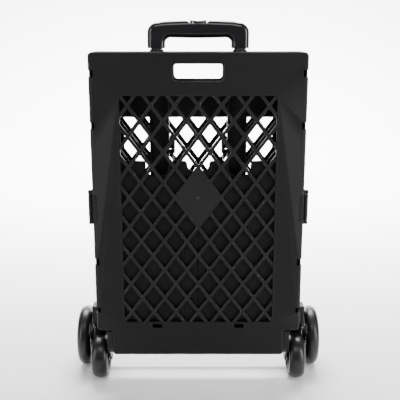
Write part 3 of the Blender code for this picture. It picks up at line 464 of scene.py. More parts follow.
def lathe(bm, profile, axis, centre, sides=48, closed=True):
    """Turn a (radius, height) profile round an axis through a point in frame coordinates."""
    place = Matrix.Translation(centre) @ AXES[axis]
    columns = []
    for side in range(sides):
        turn = math.tau * side / sides
        columns.append([bm.verts.new(place @ Vector((r * math.cos(turn), r * math.sin(turn), h)))
                        for r, h in profile])
    count = len(profile) if closed else len(profile) - 1
    for side in range(sides):
        one, two = columns[side - 1], columns[side]
        for row in range(count):
            following = (row + 1) % len(profile)
            bm.faces.new((one[row], two[row], two[following], one[following]))


def chamfered(bore, radius, length, edge):
    """The profile of a round bar or sleeve with chamfered outer edges."""
    return [(bore, 0.0), (radius - edge, 0.0), (radius, edge), (radius, length - edge),
            (radius - edge, length), (bore, length)]


def rod(bm, axis, centre, sides, low, high, radius, far_radius=None):
    """A solid rod or cone between two heights along its axis."""
    profile = [(0.0, low), (radius, low), (far_radius or radius, high), (0.0, high)]
    lathe(bm, profile, axis, centre, sides, closed=False)


def turned_piece(name, body, finish, profile, axis, centre, sides, *nodes, closed=False, angle=38):
    bm = bmesh.new()
    lathe(bm, profile, axis, centre, sides, closed)
    return finish_piece(name, bm, body, finish, *nodes, angle=angle)


def turned_pin(node, body, finish, axis, sides=32):
    """A round pin or axle with chamfered ends, filling a CAD node's box."""
    low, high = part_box(node)
    index = "XYZ".index(axis)
    length = high[index] - low[index]
    radius = max((high - low)[(index + 1) % 3], (high - low)[(index + 2) % 3]) / 2
    start = (low + high) / 2
    start[index] = low[index]
    profile = chamfered(0.0, radius, length, radius * 0.25)
    turned_piece("turned_" + node, body, finish, profile, axis, start, sides, node)


def pipe(bm, path, radius, sides=10):
    """A round wire along a list of points in frame coordinates, closed at both ends."""
    rings = []
    normal = None
    for index, point in enumerate(path):
        ahead = path[min(index + 1, len(path) - 1)] - path[max(index - 1, 0)]
        ahead.normalize()
        if normal is None:
            normal = ahead.orthogonal().normalized()
        normal = (normal - ahead * normal.dot(ahead)).normalized()
        other = ahead.cross(normal)
        rings.append([bm.verts.new(point + (normal * math.cos(math.tau * i / sides)
                                                   + other * math.sin(math.tau * i / sides)) * radius)
                      for i in range(sides)])
    for one, two in zip(rings, rings[1:]):
        for i in range(sides):
            bm.faces.new((one[i - 1], one[i], two[i], two[i - 1]))
    bm.faces.new(rings[0])
    bm.faces.new(rings[-1])


def carve(piece, cutter_mesh):
    """Cut one edit mesh out of a piece with an exact Boolean and apply it."""
    bmesh.ops.recalc_face_normals(cutter_mesh, faces=cutter_mesh.faces)
    mesh = bpy.data.meshes.new("cutter")
    cutter_mesh.to_mesh(mesh)
    cutter_mesh.free()
    cutter = add_object("cutter", mesh)
    modifier = piece.modifiers.new("carve", "BOOLEAN")
    modifier.solver = "EXACT"
    modifier.operation = "DIFFERENCE"
    modifier.object = cutter
    piece.modifiers.move(len(piece.modifiers) - 1, 0)
    bpy.context.view_layer.update()
    for other in piece.modifiers[1:]:
        other.show_viewport = False
    result = bpy.data.meshes.new_from_object(piece.evaluated_get(bpy.context.evaluated_depsgraph_get()))
    piece.modifiers.remove(modifier)
    for other in piece.modifiers:
        other.show_viewport = True
    piece.data = result
    result.shade_smooth()
    result.set_sharp_from_angle(angle=math.radians(38))
    bpy.data.objects.remove(cutter, do_unlink=True)


def cut_box(piece, side, low, high, radius, steps=2):
    cutter = bmesh.new()
    side_box(cutter, side, low, high, radius, steps)
    carve(piece, cutter)


# --- lattice

def clip(points, axis, limit, sign):
    """Keep the part of a polygon on one side of a straight limit."""
    kept = []
    for index, end in enumerate(points):
        start = points[index - 1]
        start_over, end_over = sign * (start[axis] - limit), sign * (end[axis] - limit)
        if start_over * end_over < 0:
            share = start_over / (start_over - end_over)
            kept.append(tuple(a + (b - a) * share for a, b in zip(start, end)))
        if end_over <= 0:
            kept.append(end)
    return kept


def lattice_holes(x_span, z_span, middle_x=0.0, plate_z=None, bar_width=BAR_WIDTH):
    """Diamond holes between the bars, with a small radius in each corner."""
    half_x, half_z = CELL_X / 2, CELL_Z / 2
    shrink = 1 - bar_width / 2 * math.hypot(1 / half_x, 1 / half_z)
    holes = []
    for row in range(-30, 31):
        z = CROSSING_Z + row * half_z
        for column in range(-20, 21):
            if (row + column) % 2 == 0:
                continue
            x = middle_x + column * half_x
            near_plate = plate_z is not None and abs(z - plate_z) < CELL_Z * 0.75
            if near_plate and abs(x) / CELL_X + abs(z - plate_z) / CELL_Z < 0.75:
                continue
            hole = [(x + shrink * half_x, z), (x, z + shrink * half_z),
                    (x - shrink * half_x, z), (x, z - shrink * half_z)]
            for axis, limits in ((0, x_span), (1, z_span)):
                hole = clip(hole, axis, limits[1] - 0.0003, 1)
                hole = clip(hole, axis, limits[0] + 0.0003, -1)
            if len(hole) > 2 and abs(area(hole)) > SMALLEST_HOLE:
                holes.append(soften(hole))
    return holes


def soften(hole):
    """Round a polygon's corners, with a smaller radius where its sides are short."""
    shortest = min((Vector(hole[i]) - Vector(hole[i - 1])).length for i in range(len(hole)))
    return rounded([(x, z, min(HOLE_ROUND, shortest * 0.16)) for x, z in hole], 2)


def lattice(bm, holes, outline, near, far):
    """Bars whose outer face has a fine raised bead along both edges."""
    way = 1 if far > near else -1
    bead = [(-0.00112, near + way * BEAD), (-0.0008, near + way * 0.0001), (-0.0005, near),
            (-0.0002, near + way * 0.0002), (0.0, near + way * 0.0008)]
    loops = [(outline, False, rolled(0.0006, near + way * BEAD, far, 2))]
    loops += [(hole, True, bead + rolled(BAR_EDGE, near, far, 3)[4:]) for hole in holes]
    moulding(bm, loops)
    # Where two holes nearly meet, the fill can leave a loose face with an open edge
    stray = [face for face in bm.faces if any(side.is_boundary for side in face.edges)]
    bmesh.ops.delete(bm, geom=stray, context="FACES")


# --- shells

def shell_outline():
    return rounded(mirrored([(SKIRT_HALF_WIDTH, SKIRT_Z, 0.0065), (SKIRT_HALF_WIDTH, ARCH_Z, 0.0030),
                             (HALF_WIDTH, ARCH_Z + ARCH_RISE, 0.0065), (HALF_WIDTH, RIM_Z, 0.0080)]), 5)


def window_frame(x_span, z_span):
    """The rectangle a little outside a window, where its lattice meets the panel."""
    return rectangle(x_span[0] - FRAME_MARGIN, x_span[1] + FRAME_MARGIN,
                     z_span[0] - FRAME_MARGIN, z_span[1] + FRAME_MARGIN)


def slot_outline(grow=0.0):
    return rounded_rectangle(-SLOT_HALF_WIDTH - grow, SLOT_HALF_WIDTH + grow, SLOT_Z[0] - grow,
                             SLOT_Z[1] + grow, SLOT_RADIUS + grow, 6)


def shell(bm, face, mouth, holes):
    """A tray: rounded face edge, side walls out to its mouth, and a skin with holes."""
    way = 1 if mouth > face else -1
    outside = roll(EDGE_ROUND, face, way, 6)
    lip = [(0.0, mouth - way * 0.0006), (-0.0006, mouth), (-WALL + 0.0006, mouth),
           (-WALL, mouth - way * 0.0006)]
    inside = [(-WALL, face + way * (SKIN + 0.002)), (-WALL - 0.002, face + way * SKIN)]
    loops = [(shell_outline(), False, outside + lip + inside)]
    loops += [(hole, True, rolled(edge, face, face + way * SKIN, 3)) for hole, edge in holes]
    moulding(bm, loops)


def frame_lip(bm, outline, near, far, width):
    """A raised rolled border round an opening."""
    grown = [(x + step.x * width, z + step.y * width) for (x, z), step in zip(outline, mitres(outline))]
    profile = rolled(0.0006, near, far, 2)
    moulding(bm, [(outline, True, profile), (grown, False, profile)])


def hinge_lugs(bm, pin_depth, depths):
    reach = HALF_WIDTH - WALL + 0.0005
    for _, top in HINGE_Z:
        low, high = top + LUG_GAP, top + LUG_GAP + LUG_HEIGHT
        both_sides(bm, (PIN_X, depths[0], low), (reach, depths[1], high))
        for side in (-1, 1):
            barrel(bm, side * PIN_X, pin_depth, low, high, 0.0052)


def barrel(bm, x, depth, low, high, radius, bore=0.0019):
    lathe(bm, chamfered(bore, radius, high - low, 0.0005), "Z", at(x, depth, low), 28)


def make_front_shell():
    window = rounded_rectangle(*WINDOW_X, *FRONT_WINDOW_Z, 0.0020, 3)
    low_pin = middle("base_hinge_pin", "z")
    hinge_slots = [rounded_rectangle(*sorted((side * 0.0748, side * 0.0945)), low_pin - 0.005,
                                     low_pin + 0.0045, 0.0015, 3) for side in (-1, 1)]
    bm = bmesh.new()
    shell(bm, 0.0, FRONT_BACK, [(window, 0.0008), (slot_outline(), 0.0012),
                                       *[(hole, 0.0006) for hole in hinge_slots]])
    piece = finish_piece("front_shell", bm, "front", "shell_plastic", "front_panel")
    cutter = bmesh.new()
    for low, high in HINGE_Z:
        both_sides(cutter, (0.2005, -0.001, low), (HALF_WIDTH + 0.001, 0.016, high), 0.0012)
    both_sides(cutter, (CLIP_SEAT_X, -0.001, CLIP_SEAT_Z[0]),
               (HALF_WIDTH + 0.001, CLIP_SEAT_DEPTH, CLIP_SEAT_Z[1]), 0.0010)
    carve(piece, cutter)
    make_latch_seats()
    make_front_fittings(low_pin)
    make_front_lattice()


def make_latch_seats():
    """Blocks that fill the recesses in the shell's edges, where the latches close."""
    seats = bmesh.new()
    both_sides(seats, (CLIP_SEAT_X + CLIP_FIT, 0.0005, CLIP_SEAT_Z[0] + CLIP_FIT),
               (HALF_WIDTH - 0.0001, CLIP_SEAT_DEPTH - 0.0002, CLIP_SEAT_Z[1] - CLIP_FIT), 0.0010)
    finish_piece("latch_seats", seats, "front", "latch_plastic")


def make_front_fittings(low_pin):
    bm = bmesh.new()
    hinge_lugs(bm, FRONT_PIN_DEPTH, (0.0215, FRONT_BACK - 0.0004))
    depth = depth_of("base_hinge_pin")
    for inner, outer in ((0.060, 0.072), (0.0975, 0.1095)):
        both_sides(bm, (inner, SKIN - 0.001, low_pin - 0.0055), (outer, depth + 0.004, low_pin + 0.0055))
    ears = middle("latch_pin_r", "x")
    for low in (CLIP_Z[0] - 0.0085, CLIP_Z[1] + 0.0005):
        both_sides(bm, (HALF_WIDTH - 0.001, 0.0075, low), (ears + 0.0042, 0.0165, low + 0.008), 0.0018)
    finish_piece("front_fittings", bm, "front", "shell_plastic")


def make_front_lattice():
    bm = bmesh.new()
    outer = window_frame(WINDOW_X, FRONT_WINDOW_Z)
    holes = lattice_holes(WINDOW_X, FRONT_WINDOW_Z, plate_z=PLATE_Z)
    lattice(bm, holes, outer, 0.0002, RIB_DEPTH)
    centre = at(0.0, -BOSS, PLATE_Z)
    piece = finish_piece("front_lattice", bm, "front", "bar_plastic", "front_grille")
    groove = bmesh.new()
    rod(groove, "Y", centre, 40, -0.002, BOSS + GROOVE, 0.0066, 0.0062)
    carve(piece, groove)
    profile = [(0.0, 0.0), (0.0036, 0.0), (0.0042, 0.0003), (0.0045, 0.0010), (0.0045, 0.003), (0.0, 0.003)]
    turned_piece("front_boss", "front", "bar_plastic", profile, "Y", centre, 40)
    border = bmesh.new()
    frame_lip(border, rectangle(*WINDOW_X, *FRONT_WINDOW_Z), -BOSS + 0.0001, 0.0030, 0.0028)
    frame_lip(border, slot_outline(), -BOSS + 0.0001, 0.0060, 0.0022)
    finish_piece("front_borders", border, "front", "shell_plastic")


def make_back_shell():
    window = rounded_rectangle(*WINDOW_X, *BACK_WINDOW_Z, 0.0020, 3)
    bm = bmesh.new()
    shell(bm, BACK_FACE, BACK_FRONT, [(window, 0.0008), (slot_outline(), 0.0012)])
    piece = finish_piece("back_shell", bm, "back", "shell_plastic", "back_panel")
    cutter = bmesh.new()
    for side in (-1, 1):
        rod(cutter, "Z", at(side * TUBE_X, TUBE_DEPTH, RIM_Z), 48, -0.020, 0.020, HOUSING_BORE)
    carve(piece, cutter)
    fittings = bmesh.new()
    hinge_lugs(fittings, REAR_PIN_DEPTH, (0.0400, 0.0485))
    both_sides(fittings, (HALF_WIDTH - 0.001, 0.0635, CLIP_Z[0]), (0.2145, 0.0680, CLIP_Z[1]), 0.0014)
    finish_piece("back_fittings", fittings, "back", "shell_plastic")
    make_back_lattice()


def make_back_lattice():
    bm = bmesh.new()
    outer = window_frame(WINDOW_X, BACK_WINDOW_Z)
    holes = lattice_holes(WINDOW_X, BACK_WINDOW_Z, bar_width=BACK_BAR_WIDTH)
    lattice(bm, holes, outer, BACK_FACE + 0.0028, BACK_FACE - 0.0030)
    frame_lip(bm, rectangle(*WINDOW_X, *BACK_WINDOW_Z), BACK_FACE + SKIN, BACK_FACE - 0.001, 0.0032)
    frame_lip(bm, slot_outline(), BACK_FACE + SKIN, BACK_FACE - 0.001, 0.0026)
    finish_piece("back_lattice", bm, "back", "shell_plastic", "back_grille")


def make_base_panel():
    """The ribbed floor panel, with round-bottomed notches that clear the tube housings."""
    low, top = BASE_LOW, span("base_panel", "z")[1]
    front, back = (y - FRONT_Y for y in span("base_panel", "y"))
    half = span("base_panel", "x")[1]
    inner, outer = TUBE_NOTCH_X
    outline = rounded(mirrored([
        (half, low, 0.004), (half, top, 0.008), (outer, top, 0.004), (outer, top - TUBE_NOTCH_DEEP, 0.012),
        (inner, top - TUBE_NOTCH_DEEP, 0.012), (inner, top, 0.004), (FINGER_NOTCH[0], top, 0.007),
        (FINGER_NOTCH[0], top - FINGER_NOTCH[1], 0.012)]), 6)
    grooves = [rounded_rectangle(x - half_width, x + half_width, low_end, 0.340, half_width * 0.8, 3)
               for x, half_width, low_end in
               ((0.0, 0.0013, 0.187), (-0.0265, 0.0008, 0.160), (0.0265, 0.0009, 0.160))]
    bm = bmesh.new()
    loops = [(outline, False, rolled(0.0009, front, front + BASE_SKIN))]
    loops += [(hole, True, rolled(0.0003, front, front + BASE_SKIN)) for hole in grooves]
    moulding(bm, loops)
    soft_box(bm, (-0.006, front + 0.0022, 0.1915), (0.006, front + 0.0040, 0.345), 0.0003)
    both_sides(bm, (0.0215, front + 0.0022, 0.150), (0.0315, front + 0.0040, 0.345), 0.0003)
    add_base_ribs(bm, half, low, front, back)
    pin_depth, pin_z = depth_of("base_hinge_pin"), middle("base_hinge_pin", "z")
    both_sides(bm, (0.0753, front + 0.0005, pin_z), (0.0940, pin_depth + 0.0045, low + 0.002))
    for side in (-1, 1):
        start = at(side * 0.08465 - 0.00935, pin_depth, pin_z)
        lathe(bm, [(0.0019, 0.0), (0.0045, 0.0), (0.0045, 0.0187), (0.0019, 0.0187)], "X", start, 28)
    finish_piece("base_floor", bm, "front", "panel_plastic", "base_panel")


def add_base_ribs(bm, half, low, front, back):
    start, top = front + 0.001, RIB_FRAME_TOP
    profile = rolled(0.0005, start, back, 2)
    moulding(bm, [(rectangle(-half, half, low, top), False, profile),
                         (rectangle(-half + 0.003, half - 0.003, low + 0.003, top - 0.003), True, profile)])
    for x in (0.0265, 0.068, 0.110, 0.152):
        both_sides(bm, (x - 0.0009, start, low + 0.001), (x + 0.0009, back - 0.001, top - 0.001), 0.0004)
    for z in (0.230, 0.320):
        soft_box(bm, (-half + 0.001, start, z), (-0.012, back - 0.002, z + 0.0018), 0.0004)
        soft_box(bm, (0.012, start, z), (half - 0.001, back - 0.002, z + 0.0018), 0.0004)


# --- folding sides

def make_side_half(part, side, letter, skin_at_back):
    """One half of a side wall, drawn folded; side is -1 or +1."""
    node = f"side_{part}_{letter}"
    low_z, high_z = span(node, "z")
    low_x, high_x = MID_X + PIN_CLEARANCE, PIN_X - PIN_CLEARANCE
    front, back = (y - FRONT_Y for y in span(node, "y"))
    near, far = (front, front + BOARD_THICKNESS) if skin_at_back else (back - BOARD_THICKNESS, back)
    face, mouth = (far, near) if skin_at_back else (near, far)
    way = 1 if mouth > face else -1

    def place(x, z, level):
        return at(side * x, level, z)

    bm = bmesh.new()
    board = rounded_rectangle(low_x, high_x, low_z, high_z, 0.0036, 3)
    window = rectangle(*SIDE_WINDOW_X, *SIDE_WINDOW_Z)
    outside = rolled(0.0010, face, mouth - way * 0.0002)
    inside = [(-0.0030, mouth - way * 0.0004), (-0.0030, face + way * 0.0030)]
    holes = lattice_holes(SIDE_WINDOW_X, SIDE_WINDOW_Z, middle_x=sum(SIDE_WINDOW_X) / 2)
    loops = [(board, False, outside + inside)]
    loops += [(hole, True, rolled(0.0009, face, face + way * 0.0030)) for hole in holes]
    moulding(bm, loops, place)
    border = rolled(0.0004, face + way * 0.0020, mouth, 2)
    moulding(bm, [(window, True, border), (window_frame(SIDE_WINDOW_X, SIDE_WINDOW_Z), False, border)], place)
    pin_depth = FRONT_PIN_DEPTH if skin_at_back else REAR_PIN_DEPTH
    add_outer_knuckles(bm, side, near, far, high_x, pin_depth)
    add_mid_knuckles(bm, side, near, far, low_x, skin_at_back)
    finish_piece(f"side_half_{part}_{letter}", bm, node, "panel_plastic", node)


def add_outer_knuckles(bm, side, near, far, high_x, pin_depth):
    for low, high in HINGE_Z:
        side_box(bm, side, (high_x - 0.0020, near + 0.0005, low), (PIN_X, far - 0.0005, high))
        barrel(bm, side * PIN_X, pin_depth, low, high, 0.0058)


def add_mid_knuckles(bm, side, near, far, low_x, is_front):
    step = MID_KNUCKLE_HEIGHT + LUG_GAP
    offsets = (-step, step) if is_front else (0.0,)
    arm = (far - 0.006, MID_PIN_DEPTH - 0.0010) if is_front else (MID_PIN_DEPTH + 0.0010, near + 0.006)
    for middle_z in MID_HINGE_Z:
        for offset in offsets:
            low = middle_z + offset - MID_KNUCKLE_HEIGHT / 2
            high = low + MID_KNUCKLE_HEIGHT
            side_box(bm, side, (MID_X, min(arm), low), (low_x + 0.0020, max(arm), high), 0.0006)
            barrel(bm, side * MID_X, MID_PIN_DEPTH, low, high, 0.0040)


def make_sides():
    for side, letter in SIDES:
        make_side_half("front", side, letter, skin_at_back=True)
        make_side_half("rear", side, letter, skin_at_back=False)


def make_pins():
    for letter in "lr":
        for node, body in (("front_hinge_pin_", "front"), ("rear_hinge_pin_", "back"),
                           ("mid_hinge_pin_", "side_rear_" + letter), ("latch_pin_", "front")):
            turned_pin(node + letter, body, "pin_steel", "Z", 24)
        turned_pin("front_axle_" + letter, "front", "axle_steel", "X")
    for node, body in (("rear_axle", "back"), ("base_hinge_pin", "front")):
        turned_pin(node, body, "axle_steel", "X")


# --- handle

def make_housings():
    for side, letter in SIDES:
        low_z, high_z = span("tube_housing_" + letter, "z")
        front, back = (y - FRONT_Y for y in span("tube_housing_" + letter, "y"))
        (inner, outer), (slope, drop) = HOUSING_X, HOUSING_SLOPE
        corners = [(inner, back, 0.0012), (inner, front + drop, 0.003), (inner + slope, front, 0.003),
                   (outer - slope, front, 0.003), (outer, front + drop, 0.003), (outer, back, 0.0012)]
        corners = [(side * x, depth, radius) for x, depth, radius in corners]
        bm = bmesh.new()
        loops = [(rounded(corners, 3), False, rolled(0.0007, low_z, high_z)),
                 (circle(side * TUBE_X, TUBE_DEPTH, HOUSING_BORE), True, rolled(0.0004, low_z, high_z))]
        moulding(bm, loops, at)
        for index in range(9):
            z = low_z + 0.035 + index * 0.060
            both_sides(bm, (0.0610, front + 0.010, z), (0.0625, back - 0.001, z + 0.003), 0.0005)
        finish_piece("channel_" + letter, bm, "back", "housing_plastic", "tube_housing_" + letter)


def make_tubes():
    stages = (("outer_tube_", "back"), ("mid_tube_", "handle_mid"), ("inner_tube_", "handle_top"))
    lip = 0.0003
    for side, letter in SIDES:
        for node, body in stages:
            low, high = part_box(node + letter)
            radius, length = (high.x - low.x) / 2, high.z - low.z
            inside = radius - TUBE_WALL
            profile = [(radius - lip, 0.0), (radius, lip), (radius, length - lip), (radius - lip, length),
                       (inside + lip, length), (inside, length - lip), (inside, lip), (inside + lip, 0.0)]
            turned_piece("drawn_" + node + letter, body, "tube_aluminium", profile, "Z",
                         at(side * TUBE_X, TUBE_DEPTH, low.z), 56, node + letter, closed=True)
        for node, body, bore in (("outer_collar_", "back", 0.0103), ("mid_collar_", "handle_mid", 0.0090)):
            make_collar(side, node + letter, body, bore)
        make_plug(side, "inner_plug_" + letter)


def make_collar(side, node, body, bore):
    low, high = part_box(node)
    radius, length = (high.x - low.x) / 2, high.z - low.z
    profile = [(bore, 0.0), (radius, 0.0), (radius, length * 0.45), (radius - 0.0005, length * 0.8),
               (radius - 0.0015, length), (bore + 0.0003, length), (bore, length - 0.0003)]
    turned_piece("moulded_" + node, body, "housing_plastic", profile, "Z",
                 at(side * TUBE_X, TUBE_DEPTH, low.z), 56, node, closed=True)


def make_plug(side, node):
    """The foot of the inner tube, with three grooves round it."""
    low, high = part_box(node)
    radius, length = (high.x - low.x) / 2, high.z - low.z
    groove = radius - 0.0005
    profile = [(0.0, 0.0), (radius - 0.001, 0.0), (radius, 0.001)]
    for z in (0.004, 0.008, 0.012):
        profile += [(radius, z), (groove, z + 0.0005), (groove, z + 0.0015), (radius, z + 0.002)]
    profile += [(radius, length - 0.001), (radius - 0.001, length), (0.0, length)]
    turned_piece("ribbed_" + node, "handle_top", "housing_plastic", profile, "Z",
                 at(side * TUBE_X, TUBE_DEPTH, low.z), 32, node)


def grip_back(x):
    """The grip's back is highest in the middle and falls a little to each shoulder."""
    return GRIP_TOP - 0.004 * (x / GRIP_HALF_WIDTH) ** 2


def grip_outline(low):
    shoulder, armpit, bow = 0.020, 0.011, 0.0012
    shoulder_z = grip_back(GRIP_HALF_WIDTH) - shoulder
    turns = quarter(8)
    right = [(GRIP_HALF_WIDTH, low)]
    right += [(GRIP_HALF_WIDTH - shoulder * (1 - math.cos(t)), shoulder_z + shoulder * math.sin(t))
              for t in turns]
    right += [(x, grip_back(x)) for x in (0.068, 0.056, 0.044, 0.030, 0.015)]
    under = [(-GRIP_OPENING, low)]
    under += [(-GRIP_OPENING + armpit * (1 - math.cos(t)), GRIP_UNDERSIDE - armpit * (1 - math.sin(t)))
              for t in turns]
    belly = [(x, GRIP_UNDERSIDE - bow * (1 - (x / 0.050) ** 2)) for x in (-0.040, -0.025, 0.0, 0.025, 0.040)]
    return mirrored(right, [(0.0, GRIP_TOP)]) + mirrored(under, belly)


def make_grip():
    """Two half shells with a full round section, cut square where the legs end."""
    for node, way in (("grip_front", -1), ("grip_rear", 1)):
        face, seam = TUBE_DEPTH + way * GRIP_HALF_DEPTH, TUBE_DEPTH + way * 0.00015
        profile = roll(GRIP_ROUND, face, -way, 7)
        profile += [(0.0, seam + way * 0.0009), (-0.0007, seam + way * 0.0004), (-0.0007, seam)]
        bm = bmesh.new()
        moulding(bm, [(grip_outline(GRIP_LOW - 0.012), False, profile)])
        geometry = [*bm.verts, *bm.edges, *bm.faces]
        cut = bmesh.ops.bisect_plane(bm, geom=geometry, plane_co=(0, 0, GRIP_LOW),
                                     plane_no=(0, 0, -1), clear_outer=True)["geom_cut"]
        rim = [item for item in cut if isinstance(item, bmesh.types.BMEdge)]
        bmesh.ops.edgeloop_fill(bm, edges=rim)
        piece = finish_piece("round_" + node, bm, "handle_top", "grip_plastic", node)
        cut_grip(piece, face + way * 0.002, seam - way * 0.002, has_screws=node == "grip_rear")
    make_grip_screws()


def cut_grip(piece, outside, inside, has_screws):
    """Cut the button's notch and pocket, the leg bores, and the screw holes in the rear half."""
    (foot, foot_z), (mouth, mouth_z) = GRIP_NOTCH
    notch = bmesh.new()
    outline = [(-foot, foot_z), (foot, foot_z), (mouth, mouth_z), (-mouth, mouth_z)]
    moulding(notch, [(outline, False, [(0.0, outside), (0.0, inside)])])
    carve(piece, notch)
    half_x, half_depth = POCKET_HALF
    cut_box(piece, 1, (-half_x, TUBE_DEPTH - half_depth, POCKET_Z[0]),
            (half_x, TUBE_DEPTH + half_depth, POCKET_Z[1]), 0.0004)
    bores = bmesh.new()
    for side, _ in SIDES:
        rod(bores, "Z", at(side * TUBE_X, TUBE_DEPTH, GRIP_LOW), 40, -0.001, 0.0215, 0.0077)
        if has_screws:
            rod(bores, "Y", at(side * SCREW_X, TUBE_DEPTH + 0.0095, SCREW_Z), 32, 0.0, 0.010, 0.0034)
    carve(piece, bores)


def make_grip_screws():
    profile = [(0.0, -0.0173), (0.0014, -0.0173), (0.0014, 0.0), (0.0026, 0.0), (0.0030, 0.0006),
               (0.0030, 0.0014), (0.0022, 0.0022), (0.0, 0.0022)]
    for side, letter in SIDES:
        x, depth = side * SCREW_X, TUBE_DEPTH + 0.0098
        piece = turned_piece("cross_head_screw_" + letter, "handle_top", "pin_steel", profile, "Y",
                             at(x, depth, SCREW_Z), 32, "grip_screw_" + letter)
        for across, up in ((0.0018, 0.0004), (0.0004, 0.0018)):
            cut_box(piece, 1, (x - across, depth + 0.0012, SCREW_Z - up),
                    (x + across, depth + 0.0030, SCREW_Z + up), 0.0001)


def make_button():
    low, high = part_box("button")
    foot, top, half = BUTTON_FOOT, high.z, (high.y - low.y) / 2
    dip = [(x, top - DIP * (1 - (x / 0.0135) ** 2), 0.006) for x in (0.0110, 0.0075, 0.0040)]
    right = [(BUTTON_HALF_WIDTHS[0], foot, 0.0012), (BUTTON_HALF_WIDTHS[1], top, 0.0012), *dip]
    outline = rounded(mirrored(right, [(0.0, top - DIP, 0.006)]), 3)
    bm = bmesh.new()
    moulding(bm, [(outline, False, rolled(0.0008, TUBE_DEPTH - half, TUBE_DEPTH + half, 4))])
    rod(bm, "Z", at(0.0, TUBE_DEPTH, low.z), 24, 0.0, foot + 0.001 - low.z, 0.0022)
    piece = finish_piece("push_button", bm, "button", "button_plastic", "button")
    for way in (-1, 1):
        scoop = bmesh.new()
        rod(scoop, "Z", at(0.0, TUBE_DEPTH + way * (half + 0.0205), foot + 0.0022), 96, 0.0, 0.010,
            0.0235, 0.0240)
        carve(piece, scoop)
    make_spring()
    make_yoke()


def make_spring():
    low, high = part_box("button_spring")
    wire, turns, per_turn = 0.0004, 4, 24
    radius = (high.x - low.x) / 2 - wire
    steps = turns * per_turn
    path = []
    for step in range(steps + 1):
        angle = math.tau * step / per_turn
        z = low.z + wire + (high.z - low.z - 2 * wire) * step / steps
        path.append(at(radius * math.cos(angle), TUBE_DEPTH + radius * math.sin(angle), z))
    bm = bmesh.new()
    pipe(bm, path, wire, 8)
    finish_piece("coil_spring", bm, "handle_top", "pin_steel", "button_spring", angle=80)


def make_yoke():
    low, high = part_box("release_yoke")
    radius, bend = 0.0015, 0.005
    z = high.z - radius
    arc = [(TUBE_X - bend * (1 - math.cos(t)), z - bend * (1 - math.sin(t))) for t in quarter(6)]
    points = mirrored([(TUBE_X, low.z), *arc])
    bm = bmesh.new()
    pipe(bm, [at(x, TUBE_DEPTH, height) for x, height in points], radius, 14)
    finish_piece("bent_release_wire", bm, "button", "pin_steel", "release_yoke", angle=80)


# --- wheels and carriers

def tyre_profile(radius, width):
    """A full round tread on a flat seat."""
    seat, half = radius * TYRE_SEAT, width / 2
    points = []
    for step in range(25):
        angle = math.radians(90 - 7.5 * step)
        crown = seat + 0.004 + (radius - seat - 0.004) * abs(math.cos(angle)) ** 0.75
        points.append((crown, half * math.sin(angle)))
    return points + [(seat, -half * 0.86), (seat, half * 0.86)]


def make_wheel(kind, side, letter):
    body, node = f"{kind}_wheel_{letter}", f"{kind}_wheel_tyre_{letter}"
    low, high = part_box(node)
    centre = (low + high) / 2
    # The tread's facets fall a little inside their circle, so it is drawn slightly larger
    radius, width = (high.z - low.z) / 2 * 1.0008, high.x - low.x
    turned_piece(f"{kind}_tyre_{letter}", body, "tyre_rubber", tyre_profile(radius, width), "X", centre, 112,
                 node, closed=True, angle=60)
    make_hub(kind, side, letter, centre, radius, width)
    make_cap(kind, side, letter, centre, width)


def make_hub(kind, side, letter, centre, radius, width):
    node = f"{kind}_wheel_hub_{letter}"
    low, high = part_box(node)
    rim, web, half, boss = radius * TYRE_SEAT - 0.0006, 0.0025, width * HUB_HALF, radius * 0.24
    axle_low, axle_high = span("rear_axle" if kind == "rear" else "front_axle_" + letter, "z")
    bore = (axle_high - axle_low) / 2 + 0.0003
    inner = centre.x - low.x if side > 0 else high.x - centre.x
    outer_face, inner_face = (
        [(rim - 0.001, half), (rim - 0.004, half), (rim - 0.005, half - 0.002), (rim - 0.007, web),
         (boss + 0.002, web), (boss, web + 0.003), (boss, reach - 0.001), (boss - 0.001, reach),
         (bore, reach)] for reach in (half, inner))
    profile = [(rim, half - 0.001), (rim, -half + 0.001), *((r, -h) for r, h in inner_face),
               *outer_face[::-1]]
    profile = [(r, h * side) for r, h in profile]
    bm = bmesh.new()
    lathe(bm, profile, "X", centre, 72)
    for index in range(8):
        add_spoke(bm, centre, math.tau * (index + 0.5) / 8, boss - 0.001, rim - 0.005, half - 0.002)
    finish_piece(f"{kind}_hub_{letter}", bm, f"{kind}_wheel_{letter}", "hub_plastic", node)


def add_spoke(bm, centre, turn, inner, outer, half):
    """A stiffening rib across both faces of the hub's web."""
    made = bmesh.ops.create_cube(bm, size=1.0)["verts"]
    bmesh.ops.scale(bm, vec=(2 * half, 0.0022, outer - inner), verts=made)
    bevelled = bevel(bm, made, 0.0005, 2)
    made = [vert for vert in dict.fromkeys([*made, *bevelled]) if vert.is_valid]
    place = Matrix.Translation(centre) @ Matrix.Rotation(turn, 4, "X") @ Matrix.Translation(
        (0, 0, (outer + inner) / 2))
    bmesh.ops.transform(bm, matrix=place, verts=made)


def make_cap(kind, side, letter, centre, width):
    node = f"{kind}_wheel_cap_{letter}"
    low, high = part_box(node)
    radius = (high.z - low.z) / 2
    base, tip = width * HUB_HALF + 0.0003, width / 2 + 0.0014
    profile = [(0.0, base), (radius, base), (radius, base + 0.0016), (radius - 0.0006, base + 0.0024),
               (radius * 0.80, tip - 0.0006), (radius * 0.60, tip), (radius * 0.56, tip - 0.0005),
               (radius * 0.30, tip - 0.0005), (0.0, tip - 0.0002)]
    turned_piece(f"{kind}_cap_{letter}", f"{kind}_wheel_{letter}", "housing_plastic",
                 [(r, h * side) for r, h in profile], "X", centre, 56, node)


def upright(depth, z, x):
    """Place a point of an outline in (depth, z) that is extruded across."""
    return at(x, depth, z)


